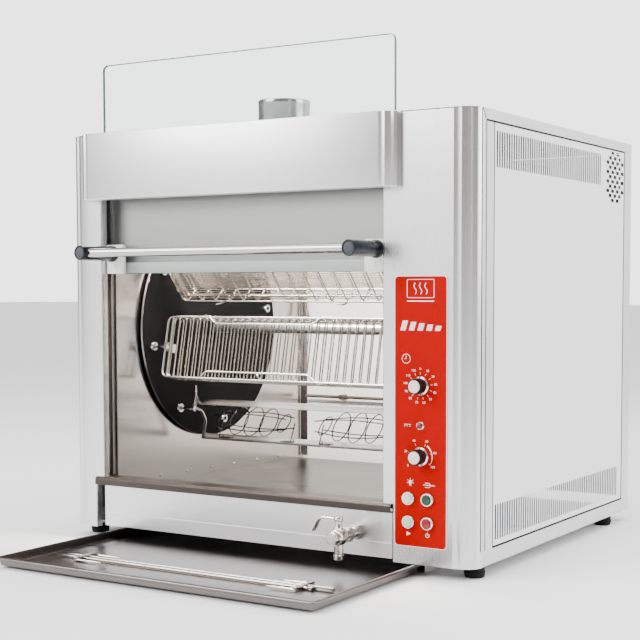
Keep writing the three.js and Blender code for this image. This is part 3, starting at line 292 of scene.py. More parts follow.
def painted(name, colour, roughness=0.4, sheen=0.5, grain=900):
    """Paint with a fine orange-peel skin and a slight change of shade from place to place."""
    finish = Finish(name)
    peel = finish.cloud(finish.where(), grain, 2)
    clouds = finish.cloud(finish.where(), 5, 3)
    finish.bump(peel, 0.07, 0.0003)
    return finish.set(
        Base_Color=finish.blend(clouds, shade(colour, 0.97), shade(colour, 1.03)),
        Roughness=roughness - 0.06 + 0.12 * clouds,
        Specular_IOR_Level=sheen,
    )


def enamelled(name, colour):
    """Baked black enamel: glossy, with faint ripples and a grey bloom of baked-on grease."""
    finish = Finish(name)
    ripples = finish.cloud(finish.where(), 46, 3)
    bloom = finish.cloud(finish.where(), 7, 5, 0.65)
    finish.bump(ripples, 0.10, 0.0012)
    return finish.set(
        Base_Color=finish.blend(bloom, colour, tuple(c + 0.002 for c in colour)),
        Roughness=0.30 + 0.30 * bloom,
        Specular_IOR_Level=0.03,
    )


def moulded(name, colour, roughness=0.42, glow=0.0, sheen=0.5):
    """Moulded plastic or rubber: a fine even grain, glossier where fingers rub it."""
    finish = Finish(name)
    grain = finish.cloud(finish.where(), 2600, 2)
    rubbed = finish.cloud(finish.where(), 70, 2)
    finish.bump(grain, 0.12, 0.0002)
    finish.set(Emission_Color=colour, Emission_Strength=glow, Specular_IOR_Level=sheen)
    return finish.set(
        Base_Color=finish.blend(rubbed, shade(colour, 0.92), shade(colour, 1.06)),
        Roughness=roughness - 0.08 + 0.16 * rubbed,
    )


def wire_finish(name, colour, tint=(0.42, 0.27, 0.16)):
    """Stainless wire, browned here and there by heat and fat."""
    finish = Finish(name)
    heat = finish.cloud(finish.where(), 16, 4, 0.65)
    share = finish.node("ShaderNodeMapRange", {"interpolation_type": "SMOOTHSTEP"},
                        {"Value": heat, "From Min": 0.50, "From Max": 0.74, "To Min": 0.0, "To Max": 0.55})
    specks = finish.cloud(finish.where(), 700, 2)
    finish.bump(specks, 0.15, 0.0003)
    return finish.set(
        Base_Color=finish.blend(share, colour, tint), Metallic=1.0, Roughness=0.2 + 0.25 * share)


def cast(name, colour):
    """Painted casting: a pebbly skin with small pits."""
    finish = Finish(name)
    pebbles = finish.cloud(finish.where(), 320, 4, 0.6)
    finish.bump(pebbles, 0.35, 0.0008)
    return finish.set(
        Base_Color=finish.blend(pebbles, shade(colour, 0.8), shade(colour, 1.2)),
        Metallic=0.25,
        Roughness=0.5 + 0.2 * pebbles,
    )


def clear_glass(name, tint, band_top):
    """Toughened glass: clear face on, with a mirror-like sheen that grows at a slant, and a misted band
    along its lower edge."""
    finish = Finish(name)
    smears = finish.cloud(finish.where((1, 1, 0.4)), 9, 4, 0.6)
    finish.set(Base_Color=(0.9, 0.97, 0.96), Roughness=0.02 + 0.05 * smears, IOR=1.5)
    slant = finish.node("ShaderNodeFresnel", {}, {"IOR": 1.22})
    height = finish.node("ShaderNodeSeparateXYZ", {}, {"Vector": finish.where()}, 2)
    band = finish.node("ShaderNodeMapRange", {}, {
        "Value": height, "From Min": band_top + 0.001, "From Max": band_top - 0.001, "To Max": 0.20})
    clear = finish.node("ShaderNodeBsdfTransparent", {}, {"Color": tint})
    mixed = finish.node("ShaderNodeMixShader", {}, {
        0: slant + 0.015 * smears + band, 1: clear, 2: Signal(finish, finish.shader.outputs[0])})
    finish.feed(finish.output.inputs["Surface"], mixed)
    return finish.material


def glass_edge(name, colour):
    """The ground edge of the sheet, where the glass shows its dark green."""
    finish = Finish(name)
    ripple = finish.cloud(finish.where((1, 1, 0.2)), 60, 2)
    return finish.set(
        Base_Color=finish.blend(ripple, shade(colour, 0.7), shade(colour, 1.5)),
        Roughness=0.12 + 0.1 * ripple,
        Coat_Weight=0.6,
    )


FINISHES = {}


def mix_finishes(colours):
    """Makes every finish once, under its short name."""
    steel = tuple(colours.steel)
    # painted shade: this near-black sill colour stands in for the shadow the sill lies in
    dark = (0.060, 0.050, 0.046)
    made = {
        "steel_across": brushed("steel_brushed_across", steel, "x"),
        "steel_up": brushed("steel_brushed_up", steel, "z"),
        "steel_deep": brushed("steel_brushed_deep", steel, "y"),
        "steel_corner": brushed("steel_corner_moulding", shade(steel, 0.97), "z", 0.26),
        "liner": brushed("cavity_liner_steel", (0.50, 0.475, 0.465), "z", 0.20, 0.04),
        "liner_bright": brushed("cavity_back_steel", (0.95, 0.95, 0.95), "x", 0.45, 0.02, 0.1),
        "floor": brushed("cavity_floor_steel", (0.055, 0.050, 0.048), "x", 0.28, 0.09),
        "tray": brushed("drip_tray_steel", (0.158, 0.144, 0.138), "x", 0.25, 0.10),
        # sill finish: its dark colour is painted shade
        "sill": brushed("sill_steel", dark, "x", 0.36),
        # painted reflection: the drip tray's dark colour stands in for the dark food mirrored in its floor
        "header": brushed("header_steel", (0.34, 0.315, 0.305), "x", 0.30, 0.04),
        "heater": brushed("heater_sheath", (0.16, 0.13, 0.11), "x", 0.45, 0.2),
        "gear": brushed("machined_steel", (0.46, 0.46, 0.48), "y", 0.36, 0.12),
        "chrome": polished("polished_steel", (0.78, 0.77, 0.76)),
        "collar": polished("collar_steel", (0.42, 0.42, 0.42), 0.12),
        "rod": polished("handle_rod_steel", (0.47, 0.455, 0.45), 0.14),
        "tap": polished("tap_nickel", (0.70, 0.68, 0.65), 0.2),
        "rim": polished("wheel_rim_steel", (0.50, 0.50, 0.51), 0.22),
        "wire": wire_finish("basket_wire", (0.56, 0.53, 0.49)),
        "dark_wire": wire_finish("roast_cage_wire", (0.06, 0.055, 0.055), (0.10, 0.06, 0.04)),
        "side": painted("side_panel_paint", tuple(colours.side), 0.38),
        "red": painted("panel_red_print", tuple(colours.panel), 0.42, 0.02, 1400),
        "print": painted("panel_pale_print", tuple(colours.marks), 0.4),
        "enamel": enamelled("wheel_enamel", tuple(colours.enamel)),
        "phenolic": moulded("standoff_phenolic", (0.004, 0.009, 0.014), 0.3, sheen=0.3),
        "cap_grey": moulded("standoff_cap_grey", (0.045, 0.045, 0.058), 0.5, sheen=0.3),
        "knob": moulded("knob_black", (0.004, 0.003, 0.003), 0.32, sheen=0.3),
        "cream": moulded("knob_cap_cream", (0.84, 0.76, 0.69), 0.38),
        "rubber": moulded("foot_rubber", (0.004, 0.004, 0.004), 0.7, sheen=0.2),
        "white": moulded("clamp_white", (0.82, 0.82, 0.80), 0.3),
        "lens_white": moulded("lens_white", (0.72, 0.78, 0.74), 0.2, 0.1),
        "lens_green": moulded("lens_green", (0.001, 0.045, 0.022), 0.16),
        "lens_lit": moulded("lens_pale_green", (0.42, 0.74, 0.42), 0.22, 0.35),
        "lens_red": moulded("lens_red", (0.26, 0.006, 0.014), 0.16, 0.1),
        "lens_lamp": moulded("lens_signal_red", (0.20, 0.004, 0.008), 0.12, 0.05),
        "lamp_glass": moulded("cavity_lamp_lens", (0.92, 0.84, 0.70), 0.25, 1.5),
        "cast": cast("gear_motor_casting", (0.23, 0.25, 0.28)),
        "iron": cast("counterweight_iron", (0.12, 0.12, 0.13)),
        "insulation": moulded("switch_body", (0.05, 0.05, 0.055), 0.5),
        "glass": clear_glass("door_glass_clear", (0.978, 0.996, 0.995), corners("door_glass")[0][2] + 0.026),
        "glass_edge": glass_edge("door_glass_edge", tuple(colours.glass_edge)),
    }
    FINISHES.update(made)


# ------------------------------------------------------------------ surfaces


def shell(grid, wrap_rows=False, wrap_columns=True, capped=True):
    """Vertices and faces of a grid of points, rows by columns; capped closes its first and last row."""
    rows, columns = grid.shape[:2]
    i = np.arange(rows if wrap_rows else rows - 1)[:, None]
    j = np.arange(columns if wrap_columns else columns - 1)[None, :]
    after, beside = (i + 1) % rows, (j + 1) % columns
    quads = np.stack([i * columns + j, i * columns + beside, after * columns + beside,
                      after * columns + j], -1).reshape(-1, 4)
    faces = quads.tolist()
    if capped and not wrap_rows:
        faces.append(list(range(columns))[::-1])
        faces.append(list(range((rows - 1) * columns, rows * columns)))
    return grid.reshape(-1, 3), faces


AXES = {"x": (2, 0, 1), "y": (0, 2, 1), "z": (0, 1, 2)}


def spaced(axis, first, second, along):
    """Points whose third value runs along the axis: (x, y) for z, (y, z) for x and (x, z) for y."""
    first, second, along = np.broadcast_arrays(first, second, along)
    return np.stack([(first, second, along)[i] for i in AXES[axis]], -1)


def turned(profile, axis, place, sides=40, closed=False):
    """Turned shape: (radius, distance along the axis) pairs swept round it, at cos and sin of the turn."""
    profile = np.asarray(profile, float)
    turn = np.linspace(0, 2 * np.pi, sides, endpoint=False)
    grid = spaced(axis, profile[:, :1] * np.cos(turn), profile[:, :1] * np.sin(turn), profile[:, 1:])
    return shell(grid + np.asarray(place, float), wrap_rows=closed, capped=False)


def extruded(outline, axis, start, end):
    """Closed outline carried straight along the axis, with flat ends."""
    outline = np.asarray(outline, float)
    grid = spaced(axis, outline[None, :, 0], outline[None, :, 1], np.array([[start], [end]]))
    return shell(grid)


def rounded_slab(low, high, radius=0.0015):
    """Box with softened edges: a rounded rectangle in plan, drawn in a little at its bottom and top."""
    low, high = np.asarray(low, float), np.asarray(high, float)
    radius = min(radius, 0.45 * float((high - low).min()))
    turn = np.linspace(0, np.pi / 2, 4)
    inset = radius * (1 - np.concatenate([np.sin(turn), np.sin(turn)[::-1]]))
    level = np.concatenate([low[2] + radius * (1 - np.cos(turn)),
                            high[2] - radius * (1 - np.cos(turn))[::-1]])
    rings = np.stack([box_outline(low + gap, high - gap, radius) for gap in inset])
    grid = np.concatenate([rings, np.broadcast_to(level[:, None, None], (*rings.shape[:2], 1))], -1)
    return shell(grid)


def box_outline(low, high, radius, steps=4):
    """Rounded rectangle: a quarter circle at each of its four corners."""
    turn = np.linspace(0, np.pi / 2, steps)
    radius = min(radius, 0.49 * min(high[0] - low[0], high[1] - low[1]))
    points = []
    for k, (x, y) in enumerate([(high[0] - radius, high[1] - radius), (low[0] + radius, high[1] - radius),
                                (low[0] + radius, low[1] + radius), (high[0] - radius, low[1] + radius)]):
        points.append(np.stack([x + radius * np.cos(turn + k * np.pi / 2),
                                y + radius * np.sin(turn + k * np.pi / 2)], -1))
    return np.concatenate(points)


def ring_outline(middle, radius, count=16, reach=0.0):
    """Circle, or an obround when its top and bottom halves stand apart by twice the reach."""
    turn = np.linspace(0, 2 * np.pi, count, endpoint=False) + np.pi / count
    x = middle[0] + radius * np.cos(turn)
    y = middle[1] + radius * np.sin(turn) + reach * np.sign(np.sin(turn))
    return np.stack([x, y], -1)


def plate(outline, holes, axis, start, end):
    """Flat sheet with convex holes: the face between the loops is triangulated, laid at both ends of its
    thickness, and joined by a wall round every loop."""
    loops = [np.asarray(outline, float)] + [np.asarray(hole, float) for hole in holes]
    flat = np.concatenate(loops)
    starts = np.cumsum([0] + [len(loop) for loop in loops])
    owner = np.repeat(np.arange(len(loops)), [len(loop) for loop in loops])
    edges = np.concatenate([
        np.stack([np.arange(n) + s, (np.arange(n) + 1) % n + s], -1)
        for s, n in zip(starts, [len(loop) for loop in loops])])
    found = delaunay_2d_cdt([Vector(point) for point in flat], edges.tolist(), [], 1, 1e-9)
    triangles = np.array(found[2])
    owners = owner[triangles]
    inside = (owners[:, 0] == owners[:, 1]) & (owners[:, 1] == owners[:, 2]) & (owners[:, 0] > 0)
    triangles = triangles[~inside]
    count = len(flat)
    walls = np.stack([edges[:, 0], edges[:, 1], edges[:, 1] + count, edges[:, 0] + count], -1)
    points = np.concatenate([spaced(axis, flat[:, 0], flat[:, 1], level) for level in (start, end)])
    faces = triangles[:, ::-1].tolist() + (triangles + count).tolist() + walls.tolist()
    return points, faces


def wire(points, radius, up=(0, 0, 1), sides=8, closed=False):
    """Round wire: a circle carried along the points, square to the path; up is never along the path."""
    path = np.asarray(points, float)
    forward = np.roll(path, -1, 0) - np.roll(path, 1, 0) if closed else np.gradient(path, axis=0)
    forward /= np.linalg.norm(forward, axis=1)[:, None]
    across = np.cross(forward, np.asarray(up, float))
    across /= np.linalg.norm(across, axis=1)[:, None]
    rise = np.cross(across, forward)
    turn = np.linspace(0, 2 * np.pi, sides, endpoint=False)
    ring = across[:, None] * np.cos(turn)[:, None] + rise[:, None] * np.sin(turn)[:, None]
    radius = np.broadcast_to(radius, len(path))[:, None, None]
    return shell(path[:, None] + radius * ring, wrap_rows=closed)


def bent(points, radius, closed=False, steps=5):
    """Path through the points with each corner rounded: a parabola between the two nearby points that
    lie the radius away from it."""
    points = np.asarray(points, float)
    before = np.roll(points, 1, 0) - points
    after = np.roll(points, -1, 0) - points
    start = points + radius * before / np.linalg.norm(before, axis=1)[:, None]
    end = points + radius * after / np.linalg.norm(after, axis=1)[:, None]
    t = np.linspace(0, 1, steps)[None, :, None]
    curve = (1 - t) ** 2 * start[:, None] + 2 * t * (1 - t) * points[:, None] + t ** 2 * end[:, None]
    if closed:
        return curve.reshape(-1, points.shape[1])
    return np.concatenate([points[:1], curve[1:-1].reshape(-1, points.shape[1]), points[-1:]])


def placed(made, turn_degrees=0.0, place=(0, 0, 0)):
    """A shell turned about the X axis and then moved."""
    points, faces = made
    angle = math.radians(turn_degrees)
    turn = np.array([[1, 0, 0], [0, math.cos(angle), -math.sin(angle)],
                     [0, math.sin(angle), math.cos(angle)]])
    return points @ turn.T + np.asarray(place, float), faces


def mesh_of(name, shells, angle=38):
    """One mesh from all the shells: doubles merged, faces turned outwards, edges sharper than the angle
    kept crisp."""
    mesh = bpy.data.meshes.new(name)
    starts = np.cumsum([0] + [len(points) for points, _ in shells])
    faces = [[corner + start for corner in face] for (_, part), start in zip(shells, starts) for face in part]
    mesh.from_pydata(np.concatenate([points for points, _ in shells]).tolist(), [], faces)
    tidy(mesh)
    mesh.polygons.foreach_set("use_smooth", np.ones(len(mesh.polygons), bool))
    mesh.set_sharp_from_angle(angle=math.radians(angle))
    return mesh


def tidy(mesh, flatten=False):
    """Merges doubles, drops slivers, joins up flat faces on request and turns all faces outwards."""
    work = bmesh.new()
    work.from_mesh(mesh)
    bmesh.ops.remove_doubles(work, verts=work.verts, dist=2e-6)
    bmesh.ops.dissolve_degenerate(work, edges=work.edges, dist=1e-6)
    if flatten:
        bmesh.ops.dissolve_limit(work, angle_limit=math.radians(1), verts=work.verts, edges=work.edges)
    bmesh.ops.recalc_face_normals(work, faces=work.faces)
    work.to_mesh(mesh)
    work.free()


def finish_piece(name, mesh, finish, body, nodes, bevel):
    """The object of a mesh: its finish, its eased edges, the body it rides and the nodes it stands for."""
    obj = bpy.data.objects.new(name, mesh)
    bpy.context.scene.collection.objects.link(obj)
    mesh.materials.clear()
    mesh.materials.append(FINISHES[finish])
    if bevel:
        soft = obj.modifiers.new("edges", "BEVEL")
        soft.width = bevel
        soft.segments = 2
        soft.limit_method = "ANGLE"
        soft.angle_limit = math.radians(32)
        soft.harden_normals = True
    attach(obj, body)
    if nodes:
        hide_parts(*nodes)
    return obj


def make(name, shells, finish, body="root", nodes=(), bevel=0.0, angle=38):
    """A new piece from shells, riding on its body and standing for the nodes."""
    return finish_piece(name, mesh_of(name, shells, angle), finish, body, nodes, bevel)


def soften(node, finish, bevel=0.0006):
    """A frame piece of the right shape, with its flat faces joined up and its edges eased."""
    mesh = frame["nodes"][node].data.copy()
    mesh.name = f"{node}_eased"
    for attribute in [a for a in mesh.attributes if a.name.startswith("custom_normal")]:
        mesh.attributes.remove(attribute)
    tidy(mesh, flatten=True)
    mesh.polygons.foreach_set("use_smooth", np.ones(len(mesh.polygons), bool))
    mesh.set_sharp_from_angle(angle=math.radians(34))
    return finish_piece(mesh.name, mesh, finish, BODY_OF[node], [node], bevel)


# ------------------------------------------------------------------ posts, fascia and panels


def fluted_arc(middle, radii, start, end, flutes, depth, steps=7):
    """Quarter ellipse from one angle to the other in degrees, hollowed by even flutes: its radii shrink by
    the depth times the sine of the way across each flute."""
    t = np.linspace(0, 1, flutes * steps + 1)
    turn = np.radians(start + (end - start) * t)
    hollow = depth * np.abs(np.sin(np.pi * flutes * t))
    return np.stack([middle[0] + (radii[0] - hollow) * np.cos(turn),
                     middle[1] + (radii[1] - hollow) * np.sin(turn)], -1)


def post_section(side, inner, outer, corner_width, sizes):
    """Plan of a front post: edge beside the opening, face, fluted corner, flat side, and back along its
    inner skin."""
    side_end = corners("left_post")[1][1]
    middle = (outer - side * corner_width, FACE_Y + CORNER_DEPTH)
    facing = (270, 360) if side > 0 else (270, 180)
    skins = []
    for inset in (0.0, sizes.sheet):
        radii = (corner_width - inset, CORNER_DEPTH - inset)
        arc = fluted_arc(middle, radii, *facing, 4, sizes.flute_depth if inset == 0 else 0.0)
        edge = bent([[inner + side * inset, FACE_Y + 0.018], [inner + side * inset, FACE_Y + inset],
                     [middle[0], FACE_Y + inset]], POST_BEND)
        skins.append(np.concatenate([edge[:-1], arc, [[outer - side * inset, side_end]]]))
    return np.concatenate([skins[0], skins[1][::-1]])


def post_lid(side, node, corner_width, sizes):
    """Flat lid just under a post's top, inside its outer skin."""
    low, high = corners(node)
    inner, outer = (low[0], high[0]) if side > 0 else (high[0], low[0])
    section = post_section(side, inner, outer, corner_width, sizes)
    skin = section[:len(section) // 2 - 1]
    middle = [outer - side * corner_width, FACE_Y + CORNER_DEPTH]
    top = high[2] - 0.0003
    return extruded(np.concatenate([skin, [middle, [middle[0], FACE_Y + 0.018]]]), "z", top - sizes.sheet,
                    top)


def make_left_post(sizes):
    """The left post: narrow beside the sill, wide above it, and its lid."""
    low, high = corners("left_post")
    narrow = post_section(-1, high[0] - SILL_STEP, low[0], LEFT_CORNER, sizes)
    wide = post_section(-1, high[0], low[0], LEFT_CORNER, sizes)
    return (extruded(narrow, "z", low[2], SILL_HIGH), extruded(wide, "z", SILL_HIGH, high[2]),
            post_lid(-1, "left_post", LEFT_CORNER, sizes))


def control_holes():
    """Openings for the buttons, the knobs' shafts and the signal lamp, as outlines in X and Z."""
    buttons = [centre(f"{name}_button") for name in ("light", "rotation", "start", "stop")]
    x = centre("control_panel")[0]
    knobs = [centre(f"{name}_knob")[2] for name in ("timer", "regulator")]
    holes = [ring_outline((b[0], b[2]), 0.0123, 32) for b in buttons]
    holes += [ring_outline((x, z), 0.0046, 24) for z in knobs]
    return holes + [ring_outline((x, knobs[1] + LAMP_RISE), 0.0073, 24)]


def make_control_column(sizes):
    """The right post: its flanges, fluted corner and lid, with a drilled flat sheet between them."""
    low, high = corners("control_column")
    narrow = post_section(1, low[0] + SILL_STEP, high[0], RIGHT_CORNER, sizes)
    wide = post_section(1, low[0], high[0], RIGHT_CORNER, sizes)
    lower_flange, upper_flange = (np.concatenate([part[:POST_EDGE], part[-POST_EDGE:]])
                                  for part in (narrow, wide))
    shells = [extruded(lower_flange, "z", low[2], SILL_HIGH),
              extruded(upper_flange, "z", SILL_HIGH + 0.0001, high[2]),
              extruded(wide[POST_EDGE:-POST_EDGE], "z", low[2], high[2]),
              post_lid(1, "control_column", RIGHT_CORNER, sizes)]
    end, edge = high[0] - RIGHT_CORNER, low[0] + POST_BEND
    outline = [(edge + SILL_STEP, low[2]), (end, low[2]), (end, high[2]), (edge, high[2]),
               (edge, SILL_HIGH), (edge + SILL_STEP, SILL_HIGH)]
    sheet = plate(outline, control_holes(), "y", FACE_Y, FACE_Y + sizes.sheet)
    return shells, sheet


class OVEN_OT_posts(bpy.types.Operator):
    """Make the two fluted front posts"""

    bl_idname = "oven.posts"
    bl_label = "Front Posts"

    def execute(self, context):
        sizes = context.scene.oven_sizes
        make("left_post_fluted", make_left_post(sizes), "steel_corner", nodes=["left_post"])
        shells, sheet = make_control_column(sizes)
        make("control_column_fluted", shells, "steel_corner", nodes=["control_column"])
        make("control_column_front", [sheet], "steel_corner", nodes=["control_column"])
        return {"FINISHED"}


class OVEN_OT_fascia(bpy.types.Operator):
    """Make the hood over the opening, with its fluted round ends and rolled lower edge"""

    bl_idname = "oven.fascia"
    bl_label = "Fascia"

    def execute(self, context):
        sizes = context.scene.oven_sizes
        low, high = corners("header_fascia")
        proud = high[1] - low[1]
        roll = 0.0035
        turn = np.linspace(0, np.pi / 2, 6)
        inset = np.concatenate([[0.024], roll * (1 - np.sin(turn)), 0.0015 * (1 - np.cos(turn)), [0.024]])
        level = np.concatenate([[low[2]], low[2] + roll * (1 - np.cos(turn)),
                                high[2] - 0.0015 * (1 - np.sin(turn)), [high[2]]])
        rings = []
        for gap in inset:
            depth = sizes.flute_depth * max(0.0, 1 - gap / 0.02)
            right = fluted_arc((high[0] - proud, high[1]), (proud - gap, proud - gap), 360, 270, 4, depth)
            left = fluted_arc((low[0] + proud, high[1]), (proud - gap, proud - gap), 270, 180, 4, depth)
            rings.append(np.concatenate([right, left]))
        outer = np.stack(rings)
        grid = np.concatenate([outer, np.broadcast_to(level[:, None, None], (*outer.shape[:2], 1))], -1)
        hood = shell(grid, wrap_columns=False, capped=False)
        piece = make("fascia_hood", [hood], "steel_across", nodes=["header_fascia"], angle=30)
        wall = piece.modifiers.new("sheet", "SOLIDIFY")
        wall.thickness = sizes.sheet
        wall.offset = -1
        return {"FINISHED"}


def louvres(low, high, pitch, width, end):
    """A row of upright obround slots between two heights, from low to end."""
    count = int((end - low[0]) / pitch)
    reach = (high - low[1]) / 2 - width / 2
    return [ring_outline((low[0] + pitch * (i + 0.5), (low[1] + high) / 2), width / 2, 8, reach)
            for i in range(count)]


class OVEN_OT_side_panels(bpy.types.Operator):
    """Make the slotted side panels, the right one with its round cluster of vent holes"""

    bl_idname = "oven.side_panels"
    bl_label = "Side Panels"

    def execute(self, context):
        sizes = context.scene.oven_sizes
        rows = [2, 3, 4, 3, 4, 3, 4, 3, 4, 3, 2]
        for name, with_vent in (("side_panel_left", False), ("side_panel_right", True)):
            low, high = corners(name)
            start = low[1] + 0.009
            holes = louvres((start, high[2] - 0.092), high[2] - 0.017, sizes.slot_pitch, sizes.slot_width,
                            start + 0.598)
            holes += louvres((start, low[2] + 0.013), low[2] + 0.088, sizes.slot_pitch, sizes.slot_width,
                             start + 0.728)
            if with_vent:
                middle = (high[1] - 0.0645, high[2] - 0.067)
                for row, count in enumerate(rows):
                    z = middle[1] + (5 - row) * 0.0114
                    for i in range(count):
                        y = middle[0] + (i - (count - 1) / 2) * 0.033
                        hole = ring_outline((z, y), 0.0046, 12, 0.0058)
                        holes.append(hole[:, ::-1])
            outline = box_outline((low[1] + SEAM, low[2] + SEAM), (high[1] - SEAM, high[2] - SEAM), 0.002)
            skin = (low[0], low[0] + GAUGE) if low[0] < 0 else (high[0] - GAUGE, high[0])
            make(f"{name}_slotted", [plate(outline, holes, "x", *skin)], "side", nodes=[name])
            self.shadow_gap_strips(name, low, high)
        return {"FINISHED"}

    def shadow_gap_strips(self, name, low, high):
        """Dark strips in the seams beside the panel, under the roof's cap and along its mitre: painted shadow
        that stands in for the shade in these gaps.
        """
        side = 1 if low[0] > 0 else -1
        frame_low, frame_high = corners(f"side_frame_{'right' if side > 0 else 'left'}")
        face = frame_high[0] if side > 0 else frame_low[0]
        x0, x1 = sorted((face - side * 0.0035, face + side * HAIR))
        half = SEAM / 2 + 0.0006
        post_end, flutes_end = corners("left_post")[1][1], FACE_Y + CORNER_DEPTH + 0.001
        cap_high = corners("roof")[1]
        strips = [((y - half, low[2] - 0.001), (y + half, top)) for y, top in (
            (flutes_end, cap_high[2] - 0.001), (post_end, high[2]), (low[1], high[2]), (high[1], high[2]))]
        strips += [((post_end, high[2] - SEAM), (high[1], high[2] + 0.0016)),
                   ((low[1], low[2] - half), (high[1], low[2] + SEAM))]
        parts = [rounded_slab((x0, *a), (x1, *b), 0.0003) for a, b in strips]
        mitre = np.array([[face, flutes_end + 0.002, cap_high[2] - 0.001],
                          [face, post_end - 0.003, high[2] + 0.002]])
        parts.append(wire(mitre, 0.0009, (1, 0, 0), 6))
        # painted shadow: black strips, in the feet's rubber finish, that stand in for the shade in the seams
        # and along the mitre
        make(f"{name}_seals", parts, "rubber")


class OVEN_OT_cabinet(bpy.types.Operator):
    """Ease the edges of the cabinet's folded pieces and give them their brushed finish"""

    bl_idname = "oven.cabinet"
    bl_label = "Cabinet"

    def execute(self, context):
        for node, finish, bevel in (
            ("side_frame_left", "steel_up", 0.0008), ("side_frame_right", "steel_up", 0.0008),
            ("roof", "steel_deep", 0.0009), ("base_frame", "steel_deep", 0.0006),
            ("door_frame", "header", 0.0005), ("lower_front_panel", "steel_across", 0.0004),
            ("sill", "sill", 0.0009), ("rear_panel", "side", 0.0005), ("cavity_left_wall", "liner", 0.0),
            ("cavity_right_wall", "liner", 0.0), ("cavity_floor", "floor", 0.0),
            ("cavity_ceiling", "liner", 0.0), ("cavity_back_wall", "liner_bright", 0.0),
        ):
            soften(node, finish, bevel)
        self.rear_details()
        self.cavity_trim()
        return {"FINISHED"}

    def rear_details(self):
        """Screws round the rear panel and its band of short louvres, pressed out of the sheet."""
        low, high = corners("rear_panel")
        screws = []
        for x in np.linspace(low[0] + 0.02, high[0] - 0.02, 5):
            for z in (low[2] + 0.014, high[2] - 0.014):
                profile = [(0, 0.0024), (0.0025, 0.0022), (0.0042, 0.0014), (0.005, 0.0), (0.005, -0.002),
                           (0, -0.002)]
                screws.append(turned(profile, "y", (x, high[1], z), 20))
        make("rear_screws", screws, "chrome")
        hoods = []
        for z in np.arange(0.62, 0.84, 0.02):
            for x in (-0.24, 0.0, 0.24):
                turn = np.linspace(0, np.pi, 9)
                section = np.stack([high[1] - 0.0005 + 0.005 * np.sin(turn), z + 0.005 * np.cos(turn)], -1)
                hoods.append(extruded(section, "x", x - 0.085, x + 0.085))
        make("rear_louvres", hoods, "side", bevel=0.0008)

    def cavity_trim(self):
        """Corner angles of the liner and the rivets along its floor."""
        low, high = corners("cavity_floor")
        back = corners("cavity_back_wall")
        ceiling = corners("cavity_ceiling")[0][2]
        x0, x1, y1 = back[0][0], back[1][0], back[0][1]
        front = low[1] + 0.004
        parts = []
        for x, side in ((x0, 1), (x1, -1)):
            parts.append(rounded_slab((min(x, x + side * 0.016), y1 - 0.0026, low[2] + 0.01),
                                      (max(x, x + side * 0.016), y1 - 0.0004, ceiling - 0.001), 0.0005))
            wall = (min(x, x + side * 0.0018), max(x, x + side * 0.0018))
            parts.append(rounded_slab((wall[0], y1 - 0.02, low[2] + 0.01),
                                      (wall[1], y1 - 0.001, ceiling - 0.001), 0.0004))
        slope = (high[2] - low[2] - 0.002) / (high[1] - low[1])
        for y in np.arange(front + 0.05, y1 - 0.03, 0.105):
            level = high[2] - slope * (y - low[1]) + 0.016
            for x, side in ((x0 - 0.0003, 1), (x1 + 0.0003, -1)):
                profile = [(0, 0.0028), (0.0026, 0.0022), (0.0042, 0.0), (0, 0.0)]
                profile = [(radius, side * along) for radius, along in profile]
                parts.append(turned(profile, "x", (x, y, level), 16))
        make("cavity_corner_angles", parts, "liner")


class OVEN_OT_flue(bpy.types.Operator):
    """Make the polished exhaust collar, the cavity lamp and the heating element"""

    bl_idname = "oven.flue"
    bl_label = "Flue, Lamp and Heater"

    def execute(self, context):
        low, high = corners("exhaust_collar")
        middle = centre("exhaust_collar")
        radius = 0.060
        bottom, top = low[2] - middle[2], high[2] - middle[2]
        outer = [(radius + 0.012, bottom), (radius + 0.012, bottom + 0.0018),
                 (radius + 0.002, bottom + 0.003), (radius - 0.0006, bottom + 0.006),
                 (radius - 0.0006, top - 0.012), (radius, top - 0.010), (radius, top - 0.0035),
                 (radius - 0.0004, top - 0.001), (radius - 0.0012, top), (radius - 0.002, top - 0.001),
                 (radius - 0.002, bottom)]
        make("exhaust_collar_tube", [turned(outer, "z", middle, 96, closed=True)], "collar",
             nodes=["exhaust_collar"])
        self.lamp()
        self.heater()
        return {"FINISHED"}

    def lamp(self):
        """Ribbed body, ring and domed lens of the lamp under the ceiling."""
        high = corners("cavity_lamp")[1]
        middle = centre("cavity_lamp")
        top = high[2] - middle[2]
        body = [(0, top), (0.030, top), (0.030, top - 0.006), (0.0275, top - 0.008), (0.0275, top - 0.028),
                (0, top - 0.028)]
        lens_turn = np.linspace(0, np.pi / 2, 9)
        lens = [(0, top - 0.028)] + [(0.0245 * math.sin(t), top - 0.026 - 0.011 * math.cos(t))
                                     for t in lens_turn[::-1]]
        ring = [(0.0245, top - 0.026), (0.0285, top - 0.026), (0.0285, top - 0.031), (0.0245, top - 0.031)]
        make("cavity_lamp_body", [turned(body, "z", middle), turned(ring, "z", middle, closed=True)], "rim",
             nodes=["cavity_lamp"])
        make("cavity_lamp_lens", [turned(lens, "z", middle)], "lamp_glass")

    def heater(self):
        """Sheathed element in three long runs joined by round bends, held by clips on the back wall."""
        low, high = corners("heating_element")
        radius = 0.0045
        y = low[1] + 0.006
        z0, z1, z2 = low[2] + radius + 0.001, centre("heating_element")[2], high[2] - radius - 0.001
        left, right = low[0] + radius, high[0] - radius
        path = bent([[left, y, z0], [right, y, z0], [right, y, z1], [left, y, z1], [left, y, z2],
                     [right, y, z2]],
                    0.05, steps=12)
        parts = [wire(path, radius, (0, 1, 0), 12)]
        for z in (z0, z1, z2):
            for x in np.linspace(left + 0.12, right - 0.12, 3):
                parts.append(rounded_slab((x - 0.006, y - 0.006, z - 0.007),
                                          (x + 0.006, high[1], z + 0.007), 0.001))
        make("heater_loop", parts, "heater", nodes=["heating_element"])


# ------------------------------------------------------------------ door


